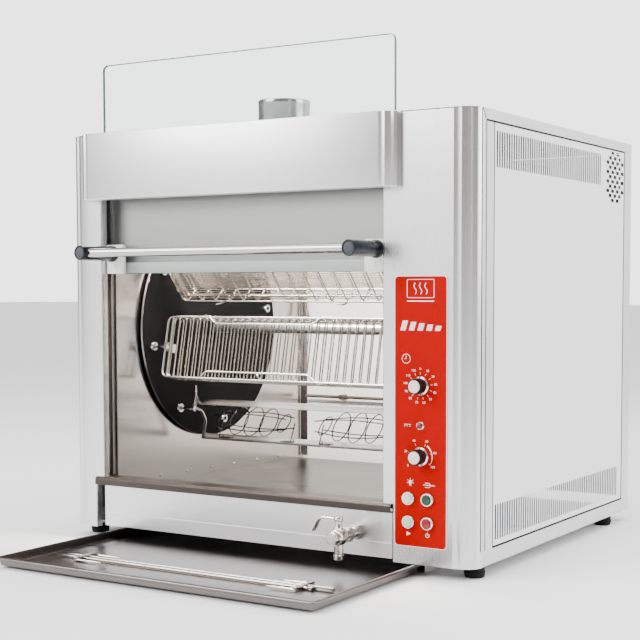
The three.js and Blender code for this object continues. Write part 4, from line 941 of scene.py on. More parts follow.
class OVEN_OT_door(bpy.types.Operator):
    """Make the sliding glass with its clamps, standoffs and handle bar, and the counterweights"""

    bl_idname = "oven.door"
    bl_label = "Sliding Door"

    def execute(self, context):
        self.glass()
        for name in ("left", "right"):
            self.clamp(name)
            self.standoff(name)
        self.handle()
        for name in ("left", "right"):
            self.weight(name)
        return {"FINISHED"}

    def glass(self):
        """Sheet with rounded upper corners, and edges ground to a small bevel."""
        low, high = corners("door_glass")
        corner, ground = 0.014, 0.0012
        turn = np.linspace(0, np.pi / 2, 9)

        def outline(gap):
            """The sheet's outline, drawn in by the gap."""
            right = np.stack([high[0] - corner + (corner - gap) * np.cos(turn),
                              high[2] - corner + (corner - gap) * np.sin(turn)], -1)
            left = np.stack([low[0] + corner - (corner - gap) * np.cos(turn[::-1]),
                             high[2] - corner + (corner - gap) * np.sin(turn[::-1])], -1)
            foot = np.array([[low[0] + gap, low[2] + gap], [high[0] - gap, low[2] + gap]])
            return np.concatenate([right, left, foot])

        rings = [(ground, low[1]), (0, low[1] + ground), (0, high[1] - ground), (ground, high[1])]
        grid = np.stack([spaced("y", outline(gap)[:, 0], outline(gap)[:, 1], y) for gap, y in rings])
        piece = make("door_glass_sheet", [shell(grid)], "glass", "door", ["door_glass"],
                     angle=20)
        piece.data.materials.append(FINISHES["glass_edge"])
        normals = np.zeros(len(piece.data.polygons) * 3)
        piece.data.polygons.foreach_get("normal", normals)
        on_edge = np.abs(normals.reshape(-1, 3)[:, 1]) < 0.9
        piece.data.polygons.foreach_set("material_index", on_edge.astype(np.int32))

    def clamp(self, name):
        """White block on the glass, with its two screws."""
        low, high = corners(f"door_block_{name}")
        body = rounded_slab(low, high, 0.0028)
        screws = [turned([(0, -0.0012), (0.003, -0.001), (0.0044, 0.0004), (0.0044, 0.003), (0, 0.003)], "y",
                         (centre(f"door_block_{name}")[0], low[1], z), 20)
                  for z in (low[2] + 0.016, high[2] - 0.014)]
        make(f"door_clamp_{name}", [body], "white", "door", [f"door_block_{name}"])
        make(f"door_clamp_screws_{name}", screws, "chrome", "door")

    def standoff(self, name):
        """Dark turned standoff that carries an end of the bar, with its grey cap."""
        low, high = corners(f"door_standoff_{name}")
        x, _, z = centre(f"door_standoff_{name}")
        length = high[1] - low[1]
        r = 0.017
        body = [(0, 0.0016), (r - 0.0045, 0.0016), (r - 0.004, 0.0004), (r - 0.0018, 0.0), (r, 0.002),
                (r, length - 0.024), (r - 0.0012, length - 0.021), (r - 0.0012, length - 0.0075),
                (r + 0.002, length - 0.0065), (r + 0.002, length - 0.0008), (r + 0.001, length),
                (0, length)]
        make(f"door_standoff_{name}_turned", [turned(body, "y", (x, low[1], z), 56)], "phenolic", "door",
             [f"door_standoff_{name}"])
        cap = [(0, 0.0009), (r - 0.0065, 0.0009), (r - 0.005, 0.0013), (r - 0.005, 0.0024), (0, 0.0024)]
        make(f"door_standoff_cap_{name}", [turned(cap, "y", (x, low[1] - 0.0002, z), 48)], "cap_grey", "door")

    def handle(self):
        """Round bar across the door."""
        low, high = corners("door_handle_bar")
        _, y, z = centre("door_handle_bar")
        r = 0.010
        profile = [(0, low[0]), (r - 0.001, low[0]), (r, low[0] + 0.001), (r, high[0] - 0.001),
                   (r - 0.001, high[0]), (0, high[0])]
        make("door_handle_rod", [turned(profile, "x", (0, y, z), 56)], "rod", "door", ["door_handle_bar"])

    def weight(self, name):
        """Cast bar with an eye for its cord."""
        low, high = corners(f"counterweight_{name}")
        x, y, _ = centre(f"counterweight_{name}")
        body = rounded_slab(low, high - np.array([0, 0, 0.014]), 0.005)
        turn = np.linspace(0, 2 * np.pi, 20, endpoint=False)
        eye = np.stack([x + 0.0085 * np.cos(turn), np.full(20, y),
                        high[2] - 0.0115 + 0.0085 * np.sin(turn)], -1)
        make(f"counterweight_{name}_cast", [body, wire(eye, 0.0025, (0, 1, 0), 8, closed=True)], "iron",
             f"weight_{name}", [f"counterweight_{name}"])


# ------------------------------------------------------------------ carousel


class OVEN_OT_carousel(bpy.types.Operator):
    """Make the two enamelled wheels, the shaft and its gears, and the planet gears with their sockets"""

    bl_idname = "oven.carousel"
    bl_label = "Carousel"

    def execute(self, context):
        for node in ("wheel_left", "wheel_right"):
            self.wheel(node)
        soften("carousel_shaft", "gear", 0.0006)
        soften("motor_pinion", "gear", 0.0004)
        self.motor()
        for i in range(8):
            node = f"planet_axle_{i + 1}"
            if node in frame["nodes"]:
                make(f"planet_{i + 1}_turned", planet_shells(i), "gear", f"station_{i + 1}", [node])
        return {"FINISHED"}

    def wheel(self, node):
        """Disc with an eased rim, a hub and, round it, the bosses or bushes of the eight stations."""
        low, high = corners(node)
        left = node == "wheel_left"
        x0 = low[0] if left else high[0] - 0.004
        x1 = x0 + 0.004
        radius = (high[1] - low[1]) / 2
        holes = [ring_outline((p[1], p[2]), 0.0048 if left else 0.0068, 20) for p in STATIONS]
        holes.append(ring_outline((AXLE[1], AXLE[2]), 0.0154, 32))
        rim = ring_outline((AXLE[1], AXLE[2]), radius - 0.0004, 160)
        disc = plate(rim, holes, "x", x0, x1)
        hub = ((x1, high[0]) if left else (low[0], x0))
        a, b = (0.0, hub[1] - hub[0]) if left else (hub[1] - hub[0], 0.0)
        hub_profile = [(0.0155, a), (0.025, a), (0.025, b + (a - b) * 0.12), (0.0235, b), (0.0155, b)]
        parts = [disc, turned(hub_profile, "x", (hub[0], AXLE[1], AXLE[2]), 48, closed=True)]
        make(f"{node}_disc", parts, "enamel", "carousel", [node])
        edge = [(radius - 0.0012, -0.0003), (radius, 0.0002), (radius, 0.0038), (radius - 0.0012, 0.0043)]
        make(f"{node}_rim", [turned(edge, "x", (x0, AXLE[1], AXLE[2]), 160, closed=True)], "rim", "carousel")
        if left:
            boss = [(0.0052, 0), (0.012, 0), (0.012, 0.006), (0.0105, 0.008), (0.0052, 0.008)]
            bosses = [turned(boss, "x", (x1 - 0.0002, place[1], place[2]), 28, closed=True)
                      for place in STATIONS]
            make(f"{node}_bosses", bosses, "rim", "carousel")

    def motor(self):
        """Worm gearbox casting with cooling ribs and its motor can, on a foot plate."""
        high = corners("gear_motor")[1]
        soften("gear_motor", "cast", 0.0025)
        y, z = AXLE[1], JOINTS["pinion_spin"]["pos_m"][2]
        ribs = []
        for x in np.arange(high[0] - 0.084, high[0] - 0.012, 0.009):
            ribs.append(turned([(0.0435, 0), (0.0475, 0.0004), (0.0475, 0.0026), (0.0435, 0.003)], "x",
                               (x, y, z), 56, closed=True))
        make("gear_motor_ribs", ribs, "cast")


def planet_shells(index):
    """Planet gear, its axle and the socket that takes a carrier's end, turned about the station's axis.
    The tooth wave is the pitch radius plus a flattened cosine of the turn."""
    start = corners("planet_axle_1")[0][0]
    place = STATIONS[index]
    sun_teeth, planet_teeth = 32, 16
    offset = place - AXLE
    angle = math.atan2(offset[2], offset[1])
    sun_pitch = 2 * math.pi / sun_teeth
    nearest = round(angle / sun_pitch) * sun_pitch
    first = angle + math.pi - (nearest - angle) * sun_teeth / planet_teeth + math.pi / planet_teeth
    reach = math.hypot(offset[1], offset[2])
    pitch_radius = reach / 3
    tooth = 2 * pitch_radius / planet_teeth
    turn = np.linspace(0, 2 * np.pi, 16 * planet_teeth, endpoint=False)
    wave = np.tanh(2.2 * np.cos(planet_teeth * (turn - first))) / math.tanh(2.2)
    radius = pitch_radius - 0.115 * tooth + 0.835 * tooth * wave
    rim = np.stack([place[1] + radius * np.cos(turn), place[2] + radius * np.sin(turn)], -1)
    right_face = corners("wheel_right")[1][0]
    gear_x = right_face + 0.005
    lightening = [ring_outline((place[1] + 0.048 * math.cos(t), place[2] + 0.048 * math.sin(t)), 0.014, 24)
                  for t in np.radians([20, 110, 200, 290])]
    wheel_face = right_face - 0.004
    body = plate(rim, lightening, "x", gear_x, gear_x + 0.008)
    socket = [(0.0, start + 0.003), (0.0075, start + 0.003), (0.0078, start), (0.0098, start),
              (0.011, start + 0.0012), (0.011, wheel_face - 0.005), (0.0095, wheel_face - 0.0042),
              (0.0095, wheel_face - 0.0005), (0.006, wheel_face - 0.0003), (0.006, gear_x - 0.0002),
              (0.014, gear_x - 0.0002), (0.014, gear_x + 0.0086), (0.006, gear_x + 0.0086),
              (0.006, gear_x + 0.0115), (0.005, gear_x + 0.012), (0, gear_x + 0.012)]
    return [body, turned(socket, "x", (0, place[1], place[2]), 32)]


def carrier_span():
    """X of the left and right ends of a carrier, and of the stub axles beyond them."""
    socket = corners("planet_axle_1")[0][0]
    stub_start = corners("wheel_left")[0][0]
    end_left = stub_start + 0.046
    return stub_start, end_left, socket - 0.006, socket


def stub_shells():
    """Short axles at both ends of a carrier, each with a collar, drawn about the station's axis."""
    stub_start, left, right, socket = carrier_span()
    return [
        turned([(0, stub_start + 0.001), (0.0036, stub_start + 0.001), (0.004, stub_start + 0.002),
                (0.004, left - 0.004), (0.0065, left - 0.004), (0.0065, left + 0.004), (0, left + 0.004)],
                "x", (0, 0, 0), 20),
        turned([(0, right - 0.004), (0.0065, right - 0.004), (0.0065, right + 0.003), (0.004, right + 0.003),
                (0.004, socket + 0.003), (0, socket + 0.003)], "x", (0, 0, 0), 20),
    ]


def basket_half(sizes, face, rim, half, cross_pitch, long_wires, long_radius):
    """Shallow wire tray: long frame wires, cross wires bent back at both edges, and a rim wire. Across is
    Y and depth is Z about the axle; face and rim are depths."""
    _, left, right, _ = carrier_span()
    r, thin = sizes.frame_wire / 2, sizes.grid_wire / 2
    corner = 0.016
    parts = []
    for depth in (face, rim):
        loop = bent([[left + r, -half + r, depth], [right - r, -half + r, depth],
                     [right - r, half - r, depth], [left + r, half - r, depth]], corner, closed=True)
        parts.append(wire(loop, r, (0, 0, 1), 8, closed=True))
    turn_in = min(0.008, abs(rim - face) * 0.45)
    edge = half - r * 1.2
    for x in np.arange(left + corner, right - corner * 0.6, cross_pitch):
        path = bent([[x, -edge, rim], [x, -edge, face], [x, edge, face], [x, edge, rim]], turn_in, steps=4)
        parts.append(wire(path, thin, (1, 0, 0), 6))
    for u in np.linspace(-half + 0.006, half - 0.006, long_wires + 2)[1:-1]:
        path = np.array([[left + r, u, face], [right - r, u, face]])
        parts.append(wire(path, long_radius, (0, 0, 1), 5))
    return parts


def latch_shells(half, depth, r, spans):
    """Bent wire latches that hold a basket shut: along its edge, then out past the rim in a low hook."""
    parts = []
    for side, x0, x1 in spans:
        u = side * (half - 0.016)
        out = side * (half + 0.004)
        path = bent([[x0 - 0.030, out, depth - 0.004], [x0 - 0.012, out, depth + 0.001],
                     [x0 + 0.012, u, depth + 0.005], [x1 - 0.012, u, depth + 0.005],
                     [x1 + 0.012, out, depth + 0.001], [x1 + 0.034, out, depth - 0.004],
                     [x1 + 0.048, side * (half - 0.004), depth - 0.006]], 0.008)
        parts.append(wire(path, r, (0, 0, 1), 8))
    return parts


class OVEN_OT_carriers(bpy.types.Operator):
    """Make the grid basket, the mesh basket and the roast cradle"""

    bl_idname = "oven.carriers"
    bl_label = "Carriers"

    def execute(self, context):
        sizes = context.scene.oven_sizes
        left = carrier_span()[1]
        half = 0.077
        r = sizes.frame_wire / 2
        near, far = -0.040 + r, 0.008 - r
        middle = (near + far) / 2
        parts = basket_half(sizes, far, middle + r, half, sizes.grid_pitch, 0, 0.0014)
        parts += basket_half(sizes, near, middle - r, half, sizes.grid_pitch, 0, 0.0014)
        spans = [(1, left + 0.135, left + 0.435), (-1, left + 0.125, left + 0.44)]
        parts += latch_shells(half - 0.003, far - 0.001, 0.0022, spans)
        parts += end_plates(near, far)
        self.place("grid_basket", "grid_basket_wires", 4, parts, 78)

        near, far = -0.030 + r, 0.018 - r
        middle = (near + far) / 2
        count = int(2 * half / sizes.mesh_pitch)
        parts = basket_half(sizes, far, middle + r, half, sizes.grid_pitch * 2, count, 0.0011)
        parts += basket_half(sizes, near, middle - r, half, sizes.grid_pitch * 2, count, 0.0011)
        parts += latch_shells(half - 0.003, near - 0.004, 0.0019, spans)
        parts += end_plates(near, far)
        self.place("mesh_basket", "mesh_basket_wires", 3, parts, -48.8)

        self.cradle()
        return {"FINISHED"}

    def place(self, node, name, index, parts, degrees):
        """Turns a basket about its station's axis, and adds its stub axles and its planet gear."""
        station = STATIONS[index]
        at = (0, station[1], station[2])
        shells = [placed(part, degrees, at) for part in parts]
        shells += [placed(part, 0, at) for part in stub_shells()]
        make(name, shells, "wire", f"station_{index + 1}", [node], angle=50)
        make(f"{name}_planet", planet_shells(index), "gear", f"station_{index + 1}")

    def cradle(self):
        """Two flat rails on cranked end brackets, and the wire cages that grip two joints of meat."""
        station = STATIONS[5]
        _, left, right, _ = carrier_span()
        at = (0, station[1], station[2])
        upper, lower = (0.012, 0.018), (0.038, -0.072)
        parts = []
        for y, z in (upper, lower):
            parts.append(rounded_slab((left + 0.002, y - 0.0013, z - 0.008),
                                      (right - 0.002, y + 0.0013, z + 0.008), 0.0008))
        for x, side in ((left + 0.004, 1), (right - 0.004, -1)):
            path = bent([[x, upper[0], upper[1] + 0.012], [x, 0.002, 0.002],
                         [x + side * 0.012, 0.016, -0.006], [x + side * 0.014, 0.030, -0.030],
                         [x, lower[0], lower[1] - 0.006]], 0.008, steps=6)
            parts.append(wire(path, 0.0046, (1, 0, 0), 10))
            pin = np.array([[x, upper[0], upper[1] + 0.006], [x, upper[0] - 0.001, upper[1] + 0.040]])
            parts.append(wire(pin, 0.0022, (1, 0, 0), 8))
            parts.append(wire(np.array([[x - side * 0.002, 0, 0], [x + side * 0.005, 0, 0]]), 0.0065,
                              (0, 0, 1), 16))
            parts.append(turned([(0, -0.003), (0.006, -0.002), (0.006, 0.002), (0, 0.003)], "x",
                                (x, upper[0], upper[1]), 18))
        parts += stub_shells()
        make("roast_cradle_rails", [placed(part, 0, at) for part in parts], "wire", "station_6",
             ["roast_cradle"], angle=50)
        middle_y, middle_z = (upper[0] + lower[0]) / 2 + 0.004, (upper[1] + lower[1]) / 2
        cages = []
        quarter = (right - left) / 4
        turn = np.linspace(0, 2 * np.pi, 28, endpoint=False)
        for cage in (left + quarter * 1.05, left + quarter * 2.9):
            for k, swell in enumerate((0.62, 0.95, 1.0, 0.95, 0.62)):
                x = cage + (k - 2) * 0.045
                lean = 0.012 * np.sin(turn)
                hoop = np.stack([x + lean, middle_y + 0.039 * swell * np.cos(turn),
                                 middle_z + 0.036 * swell * np.sin(turn)], -1)
                cages.append(wire(hoop, 0.0014, (1, 0, 0), 6, closed=True))
            reach = np.linspace(-0.108, 0.108, 15)
            belly = 0.6 + 0.4 * np.cos(reach / 0.108 * np.pi / 2)
            for direction in np.radians([35, 145, 215, 325]):
                along = np.stack([cage + reach, middle_y + 0.039 * belly * math.cos(direction),
                                  middle_z + 0.036 * belly * math.sin(direction)], -1)
                cages.append(wire(along, 0.0014, (0, math.sin(direction), -math.cos(direction)), 6))
            for end in (-0.108, 0.108):
                prong = np.stack([np.linspace(cage + end, cage + end * 0.72, 4), np.full(4, middle_y),
                                  np.full(4, lower[1])], -1)
                cages.append(wire(prong, 0.0017, (0, 0, 1), 6))
                link = np.array([[cage + end, middle_y, lower[1]], [cage + end, lower[0], lower[1]]])
                cages.append(wire(link, 0.0017, (0, 0, 1), 6))
                cages.append(wire(np.array([[cage + end, middle_y, lower[1]],
                                            [cage + end, middle_y + 0.02, middle_z]]), 0.0014, (1, 0, 0), 6))
        make("roast_cradle_cages", [placed(part, 0, at) for part in cages], "dark_wire", "station_6",
             angle=60)
        make("roast_cradle_planet", planet_shells(5), "gear", "station_6")


def end_plates(near, far):
    """Flat straps across a basket's two ends, from the frame wires to the stub axle."""
    _, left, right, _ = carrier_span()
    parts = []
    for x in (left + 0.0012, right - 0.0036):
        parts.append(rounded_slab((x, -0.011, near), (x + 0.0024, 0.011, max(far, 0.008)), 0.0006))
        parts.append(rounded_slab((x, -0.009, -0.009), (x + 0.0024, 0.009, 0.009), 0.0006))
    return parts


# ------------------------------------------------------------------ drip tray, spit and tap


class OVEN_OT_tray(bpy.types.Operator):
    """Make the drip tray with its rolled rim, and the spit that lies in it"""

    bl_idname = "oven.tray"
    bl_label = "Drip Tray and Spit"

    def execute(self, context):
        low, high = corners("drip_tray")
        deep = high[2] - low[2]
        rolled = 0.0028
        lip = np.linspace(0, np.pi * 1.35, 10)
        path_in = [0.060, 0.014, 0.0085, 0.0072, 0.0066]
        path_up = [0.0006, 0.0006, 0.003, deep - 0.005, deep - 0.0002]
        roll_in = rolled * (1 - np.sin(lip))
        roll_up = deep - rolled - 0.0002 + rolled * np.cos(lip)
        inset = np.concatenate([path_in, roll_in])
        height = np.concatenate([path_up, roll_up])
        rings = []
        for gap, z in zip(inset, height):
            outline = box_outline(low[:2] + gap, high[:2] - gap, max(0.002, 0.010 - gap), 6)
            rings.append(np.concatenate([outline, np.full((len(outline), 1), low[2] + z)], -1))
        points, faces = shell(np.stack(rings), capped=False)
        faces.append(list(range(len(rings[0])))[::-1])
        # the tray finish is darkened as a painted reflection of dark food
        piece = make("drip_tray_pan", [(points, faces)], "tray", "tray", ["drip_tray"],
                     angle=40)
        wall = piece.modifiers.new("sheet", "SOLIDIFY")
        wall.thickness = 0.0012
        wall.offset = 0
        self.spit()
        return {"FINISHED"}

    def spit(self):
        """Two square prongs drawn to points, a square handle end, and two sliding forks."""
        low, high = corners("spit")
        y = centre("spit")[1]
        z = low[2] + 0.0035
        parts = []
        for side in (-1, 1):
            v = y + side * 0.009
            x = np.array([low[0], low[0] + 0.03, high[0] - 0.05])
            path = np.stack([x, np.full(3, v), np.full(3, z)], -1)
            parts.append(wire(path, np.array([0.0006, 0.0032, 0.0032]), (0, 0, 1), 10))
        bridge = high[0] - 0.05
        parts.append(rounded_slab((bridge - 0.006, y - 0.0125, z - 0.0032),
                                  (bridge + 0.006, y + 0.0125, z + 0.0034), 0.001))
        parts.append(rounded_slab((bridge + 0.004, y - 0.0048, low[2] + 0.0002),
                                  (high[0], y + 0.0048, low[2] + 0.0098), 0.0016))
        for x, reach in ((low[0] + 0.06, 0.07), (high[0] - 0.07, -0.07)):
            parts.append(rounded_slab((x - 0.004, y - 0.034, low[2] + 0.0004),
                                      (x + 0.004, y + 0.034, low[2] + 0.0092), 0.0012))
            for side in (-1, 1):
                path = np.array([[x, y + side * 0.031, z], [x + reach * 0.7, y + side * 0.031, z],
                                 [x + reach, y + side * 0.031, z]])
                parts.append(wire(path, np.array([0.0024, 0.0022, 0.0005]), (0, 0, 1), 8))
        make("spit_rods", parts, "wire", "tray", ["spit"])


def hexagon(radius, start, end, ease):
    """Turned hexagon nut profile: six sides, eased at both ends."""
    return [(0, start), (radius - ease, start), (radius, start + ease), (radius, end - ease),
            (radius - ease, end), (0, end)]


class OVEN_OT_tap(bpy.types.Operator):
    """Make the drain tap and its lever"""

    bl_idname = "oven.tap"
    bl_label = "Drain Tap"

    def execute(self, context):
        low, high = corners("tap_body")
        x = centre("tap_body")[0]
        lever_low, lever_high = corners("tap_lever")
        stem_y = JOINTS["tap_turn"]["pos_m"][1]
        z = SILL_LOW - 0.047
        face = FACE_Y
        profile = [(0, low[1]), (0.0115, low[1]), (0.0135, low[1] + 0.0015), (0.014, low[1] + 0.003),
                   (0.014, low[1] + 0.012), (0.0155, low[1] + 0.0135), (0.0178, stem_y - 0.012),
                   (0.018, stem_y), (0.0172, stem_y + 0.012), (0.0135, stem_y + 0.0175),
                   (0.0105, stem_y + 0.020), (0.010, stem_y + 0.027), (0.0102, face - 0.033),
                   (0.0102, face - 0.017), (0.0102, face + 0.012), (0, face + 0.012)]
        parts = [turned(profile, "y", (x, 0, z), 48)]
        for start, end in ((face - 0.048, face - 0.034), (face - 0.016, face - 0.0003)):
            parts.append(turned(hexagon(0.0168, start, end, 0.0012), "y", (x, 0, z), 6))
        threads = [turned([(0.0098, t), (0.0112, t + 0.0008), (0.0098, t + 0.0016)], "y", (x, 0, z), 32,
                          closed=True)
                   for t in np.arange(face - 0.033, face - 0.0175, 0.0018)]
        parts += threads
        foot = low[2]
        spout = [(0, foot + 0.004), (0.008, foot + 0.004), (0.0082, foot + 0.0005), (0.0102, foot),
                 (0.011, foot + 0.0012), (0.011, foot + 0.009), (0.0098, foot + 0.0105),
                 (0.0098, z - 0.010), (0, z - 0.010)]
        parts.append(turned(spout, "z", (x, stem_y, 0), 36))
        neck_top = min(high[2], lever_high[2] - NUT_DEPTH - 0.0003)
        neck = [(0, z), (0.0125, z + 0.012), (0.0125, z + 0.016), (0.0095, z + 0.019), (0.0078, z + 0.022),
                (0.0078, neck_top - 0.001), (0.007, neck_top), (0, neck_top)]
        parts.append(turned(neck, "z", (x, stem_y, 0), 36))
        make("tap_casting", parts, "tap", nodes=["tap_body"], angle=35)
        self.lever(x, stem_y, lever_low, lever_high)
        return {"FINISHED"}

    def lever(self, x, y, low, high):
        """Flat lever: a strap that leaves the stem's nut, and turns down to a finger grip."""
        top = high[2]
        path = bent([[x + 0.004, y, top - 0.0046], [x - 0.046, y, top - 0.0046],
                     [x - 0.062, y, low[2] + 0.003]], 0.010)
        turn = np.linspace(0, 2 * np.pi, 16, endpoint=False)
        forward = np.gradient(path, axis=0)
        forward /= np.linalg.norm(forward, axis=1)[:, None]
        rise = np.stack([-forward[:, 2], np.zeros(len(path)), forward[:, 0]], -1)
        width = np.linspace(0.0066, 0.0084, len(path))[:, None, None]
        across = np.array([0.0, 1.0, 0.0])
        power = lambda wave: np.sign(wave) * np.abs(wave) ** 0.6
        ring = (power(np.cos(turn))[None, :, None] * width * across
                + power(np.sin(turn))[None, :, None] * 0.0026 * rise[:, None])
        strap = shell(path[:, None] + ring)
        cap = [(0, 0.0), (0.0096, 0.0), (0.0100, 0.0008), (0.0100, 0.0066), (0.0092, 0.0078),
               (0.0052, 0.0084), (0.0048, 0.0090), (0, 0.0092)]
        nut = turned(cap, "z", (x, y, high[2] - NUT_DEPTH), 36)
        make("tap_lever_strap", [strap, nut], "tap", "lever", ["tap_lever"])


# ------------------------------------------------------------------ controls


def lettering(text, size, x, z, y, spacing=1.0):
    """Flat numbers standing up on the panel's face, centred on the point."""
    curve = bpy.data.curves.new("numbers", "FONT")
    curve.body = text
    curve.size = size
    curve.align_x = "CENTER"
    curve.align_y = "CENTER"
    curve.extrude = 0.00012
    curve.space_character = spacing
    curve.resolution_u = 3
    holder = bpy.data.objects.new("numbers", curve)
    bpy.context.scene.collection.objects.link(holder)
    bpy.context.view_layer.update()
    mesh = bpy.data.meshes.new_from_object(holder.evaluated_get(bpy.context.evaluated_depsgraph_get()))
    points = np.zeros(len(mesh.vertices) * 3)
    mesh.vertices.foreach_get("co", points)
    points = points.reshape(-1, 3)
    faces = [list(polygon.vertices) for polygon in mesh.polygons]
    bpy.data.objects.remove(holder)
    bpy.data.curves.remove(curve)
    bpy.data.meshes.remove(mesh)
    return np.stack([x + points[:, 0], y - points[:, 2], z + points[:, 1]], -1), faces


def stroke(points, width, y):
    """Printed line: a flat ribbon of the width along (x, z) points, a hair proud of the panel."""
    path = np.asarray(points, float)
    forward = np.gradient(path, axis=0)
    forward /= np.linalg.norm(forward, axis=1)[:, None]
    side = np.stack([-forward[:, 1], forward[:, 0]], -1) * width / 2
    proud = 0.00015
    rows = [spaced("y", (path + offset)[:, 0], (path + offset)[:, 1], level)
            for offset, level in ((side, y + proud), (side, y - proud), (-side, y - proud),
                                  (-side, y + proud))]
    return shell(np.stack(rows, 1))


def circle(x, z, radius, start=0.0, end=360.0, count=40):
    """Arc of (x, z) points from one angle to the other in degrees."""
    turn = np.radians(np.linspace(start, end, count))
    return np.stack([x + radius * np.cos(turn), z + radius * np.sin(turn)], -1)


def dial(x, z, y, radius, marks, start, end, size):
    """Ticks and numbers round a knob, from one angle to the other in degrees."""
    parts = []
    for mark, degrees in zip(marks, np.linspace(start, end, len(marks))):
        direction = np.array([math.cos(math.radians(degrees)), math.sin(math.radians(degrees))])
        middle = np.array([x, z])
        parts.append(stroke([middle + direction * radius, middle + direction * (radius + 0.005)], 0.0007, y))
        spot = middle + direction * (radius + 0.0115)
        parts.append(lettering(mark, size, spot[0], spot[1], y))
    return parts


class OVEN_OT_controls(bpy.types.Operator):
    """Make the red control panel with its marks, knobs, buttons and signal lamp"""

    bl_idname = "oven.controls"
    bl_label = "Controls"

    def execute(self, context):
        low, high = corners("control_panel")
        x = centre("control_panel")[0]
        buttons = [centre(f"{name}_button") for name in ("light", "rotation", "start", "stop")]
        timer_z, regulator_z = centre("timer_knob")[2], centre("regulator_knob")[2]
        lamp_z = regulator_z + LAMP_RISE
        face = low[1]
        holes = control_holes()
        border = 0.0016
        back = box_outline((low[0], low[2]), (high[0], high[2]), 0.009, 8)
        front = box_outline((low[0] + border, low[2] + border), (high[0] - border, high[2] - border),
                            0.0078, 8)
        make("control_panel_border", [plate(back, holes, "y", face + 0.0002, high[1])], "print",
             nodes=["control_panel"])
        make("control_panel_red", [plate(front, holes, "y", face, face + 0.0004)], "red")
        self.marks(x, face - 0.0001, timer_z, regulator_z, lamp_z, buttons, high[2])
        self.bezels(x, face, lamp_z, buttons)
        for name, lens in (("light", "lens_white"), ("rotation", "lens_green"), ("start", "lens_lit"),
                           ("stop", "lens_red")):
            self.button(name, lens, SLOT_OF[f"{name}_button"])
        for name in ("timer", "regulator"):
            self.knob(name)
        soften("timer_and_regulator", "insulation", 0.0012)
        return {"FINISHED"}

    def marks(self, x, y, timer_z, regulator_z, lamp_z, buttons, top):
        """Pale print: the two dials, the small signs beside the controls, and the emblem."""
        parts = dial(x, timer_z, y, 0.0235, [str(10 * k) for k in range(0, 13)], 90, -243, 0.0068)
        parts += dial(x, regulator_z, y, 0.0235, ["0", "20", "40", "60", "80", "100"], 215, -35, 0.0068)
        turn = np.radians(np.linspace(-30, 55, 24))
        wedge = np.linspace(0.0006, 0.0034, 24)
        parts += [stroke([[x + 0.0275 * math.cos(a), regulator_z + 0.0275 * math.sin(a)],
                          [x + 0.0275 * math.cos(b), regulator_z + 0.0275 * math.sin(b)]], w, y)
                  for a, b, w in zip(turn[:-1], turn[1:], wedge)]
        clock = (x - 0.033, timer_z + 0.055)
        parts.append(stroke(circle(*clock, 0.0095), 0.0009, y))
        parts.append(stroke([clock, (clock[0], clock[1] + 0.0065)], 0.0009, y))
        parts.append(stroke([(clock[0] - 0.0045, clock[1]), clock], 0.0009, y))
        parts.append(stroke([(x - 0.038, lamp_z + 0.002), (x - 0.022, lamp_z + 0.002)], 0.0009, y))
        parts += [stroke([(x - 0.038 + 0.006 * k, lamp_z - 0.0015),
                          (x - 0.035 + 0.006 * k, lamp_z - 0.0015)], 0.0009, y)
                  for k in range(3)]
        bulb = (buttons[0][0] + 0.004, buttons[0][2] + 0.034)
        parts.append(plate(ring_outline(bulb, 0.0042, 20), [], "y", y, y + 0.0002))
        parts.append(plate(box_outline((bulb[0] - 0.002, bulb[1] - 0.0075),
                                       (bulb[0] + 0.002, bulb[1] - 0.003), 0.0005), [],
                           "y", y, y + 0.0002))
        for degrees in (-10, 35, 90, 145, 190):
            ray = np.array([math.cos(math.radians(degrees)), math.sin(math.radians(degrees))])
            parts.append(stroke([np.array(bulb) + ray * 0.0058, np.array(bulb) + ray * 0.0085], 0.0008, y))
        fork = (buttons[1][0] + 0.004, buttons[1][2] + 0.030)
        parts.append(stroke([(fork[0] - 0.014, fork[1]), (fork[0] + 0.013, fork[1])], 0.0013, y))
        for side in (-1, 1):
            parts.append(stroke(bent([[fork[0] - 0.010, fork[1] + side * 0.0045],
                                      [fork[0] + 0.0005, fork[1] + side * 0.0045],
                                      [fork[0] + 0.003, fork[1]]], 0.002), 0.0011, y))
        start = (buttons[2][0], buttons[2][2] - 0.0245)
        parts.append(plate([(start[0] - 0.0045, start[1] - 0.0045), (start[0] + 0.0055, start[1]),
                            (start[0] - 0.0045, start[1] + 0.0045)], [], "y", y, y + 0.0002))
        stop = (buttons[3][0], buttons[3][2] - 0.0245)
        parts.append(stroke(circle(*stop, 0.0042, 125, 415, 24), 0.0011, y))
        parts.append(stroke([(stop[0], stop[1]), (stop[0], stop[1] + 0.0062)], 0.0011, y))
        parts += self.emblem(x, y, top)
        make("control_panel_marks", parts, "print")

    def emblem(self, x, y, top):
        """Plain framed sign of rising heat, and a run of slanted bars under it."""
        parts = []
        left, right, low, high = x - 0.031, x + 0.031, top - 0.045, top - 0.008
        frame_line = bent([[left, low], [right, low], [right, high], [left, high]], 0.002, closed=True)
        frame_line = np.concatenate([frame_line, frame_line[:1]])
        parts.append(stroke(frame_line, 0.0011, y))
        t = np.linspace(0, 1, 17)
        for k in (-1, 0, 1):
            wave = np.stack([x + k * 0.0125 + 0.0028 * np.sin(t * 2 * np.pi), low + 0.007 + 0.023 * t], -1)
            parts.append(stroke(wave, 0.0016, y))
        parts.append(stroke([(left, low - 0.007), (right, low - 0.007)], 0.0022, y))
        base = top - 0.112
        for k in range(5):
            height = 0.020 - 0.0025 * k
            x0 = x - 0.047 + 0.020 * k
            slant = height * 0.3
            parts.append(plate([(x0, base), (x0 + 0.012, base), (x0 + 0.012 + slant, base + height),
                                (x0 + slant, base + height)],
                               [], "y", y, y + 0.0002))
        return parts

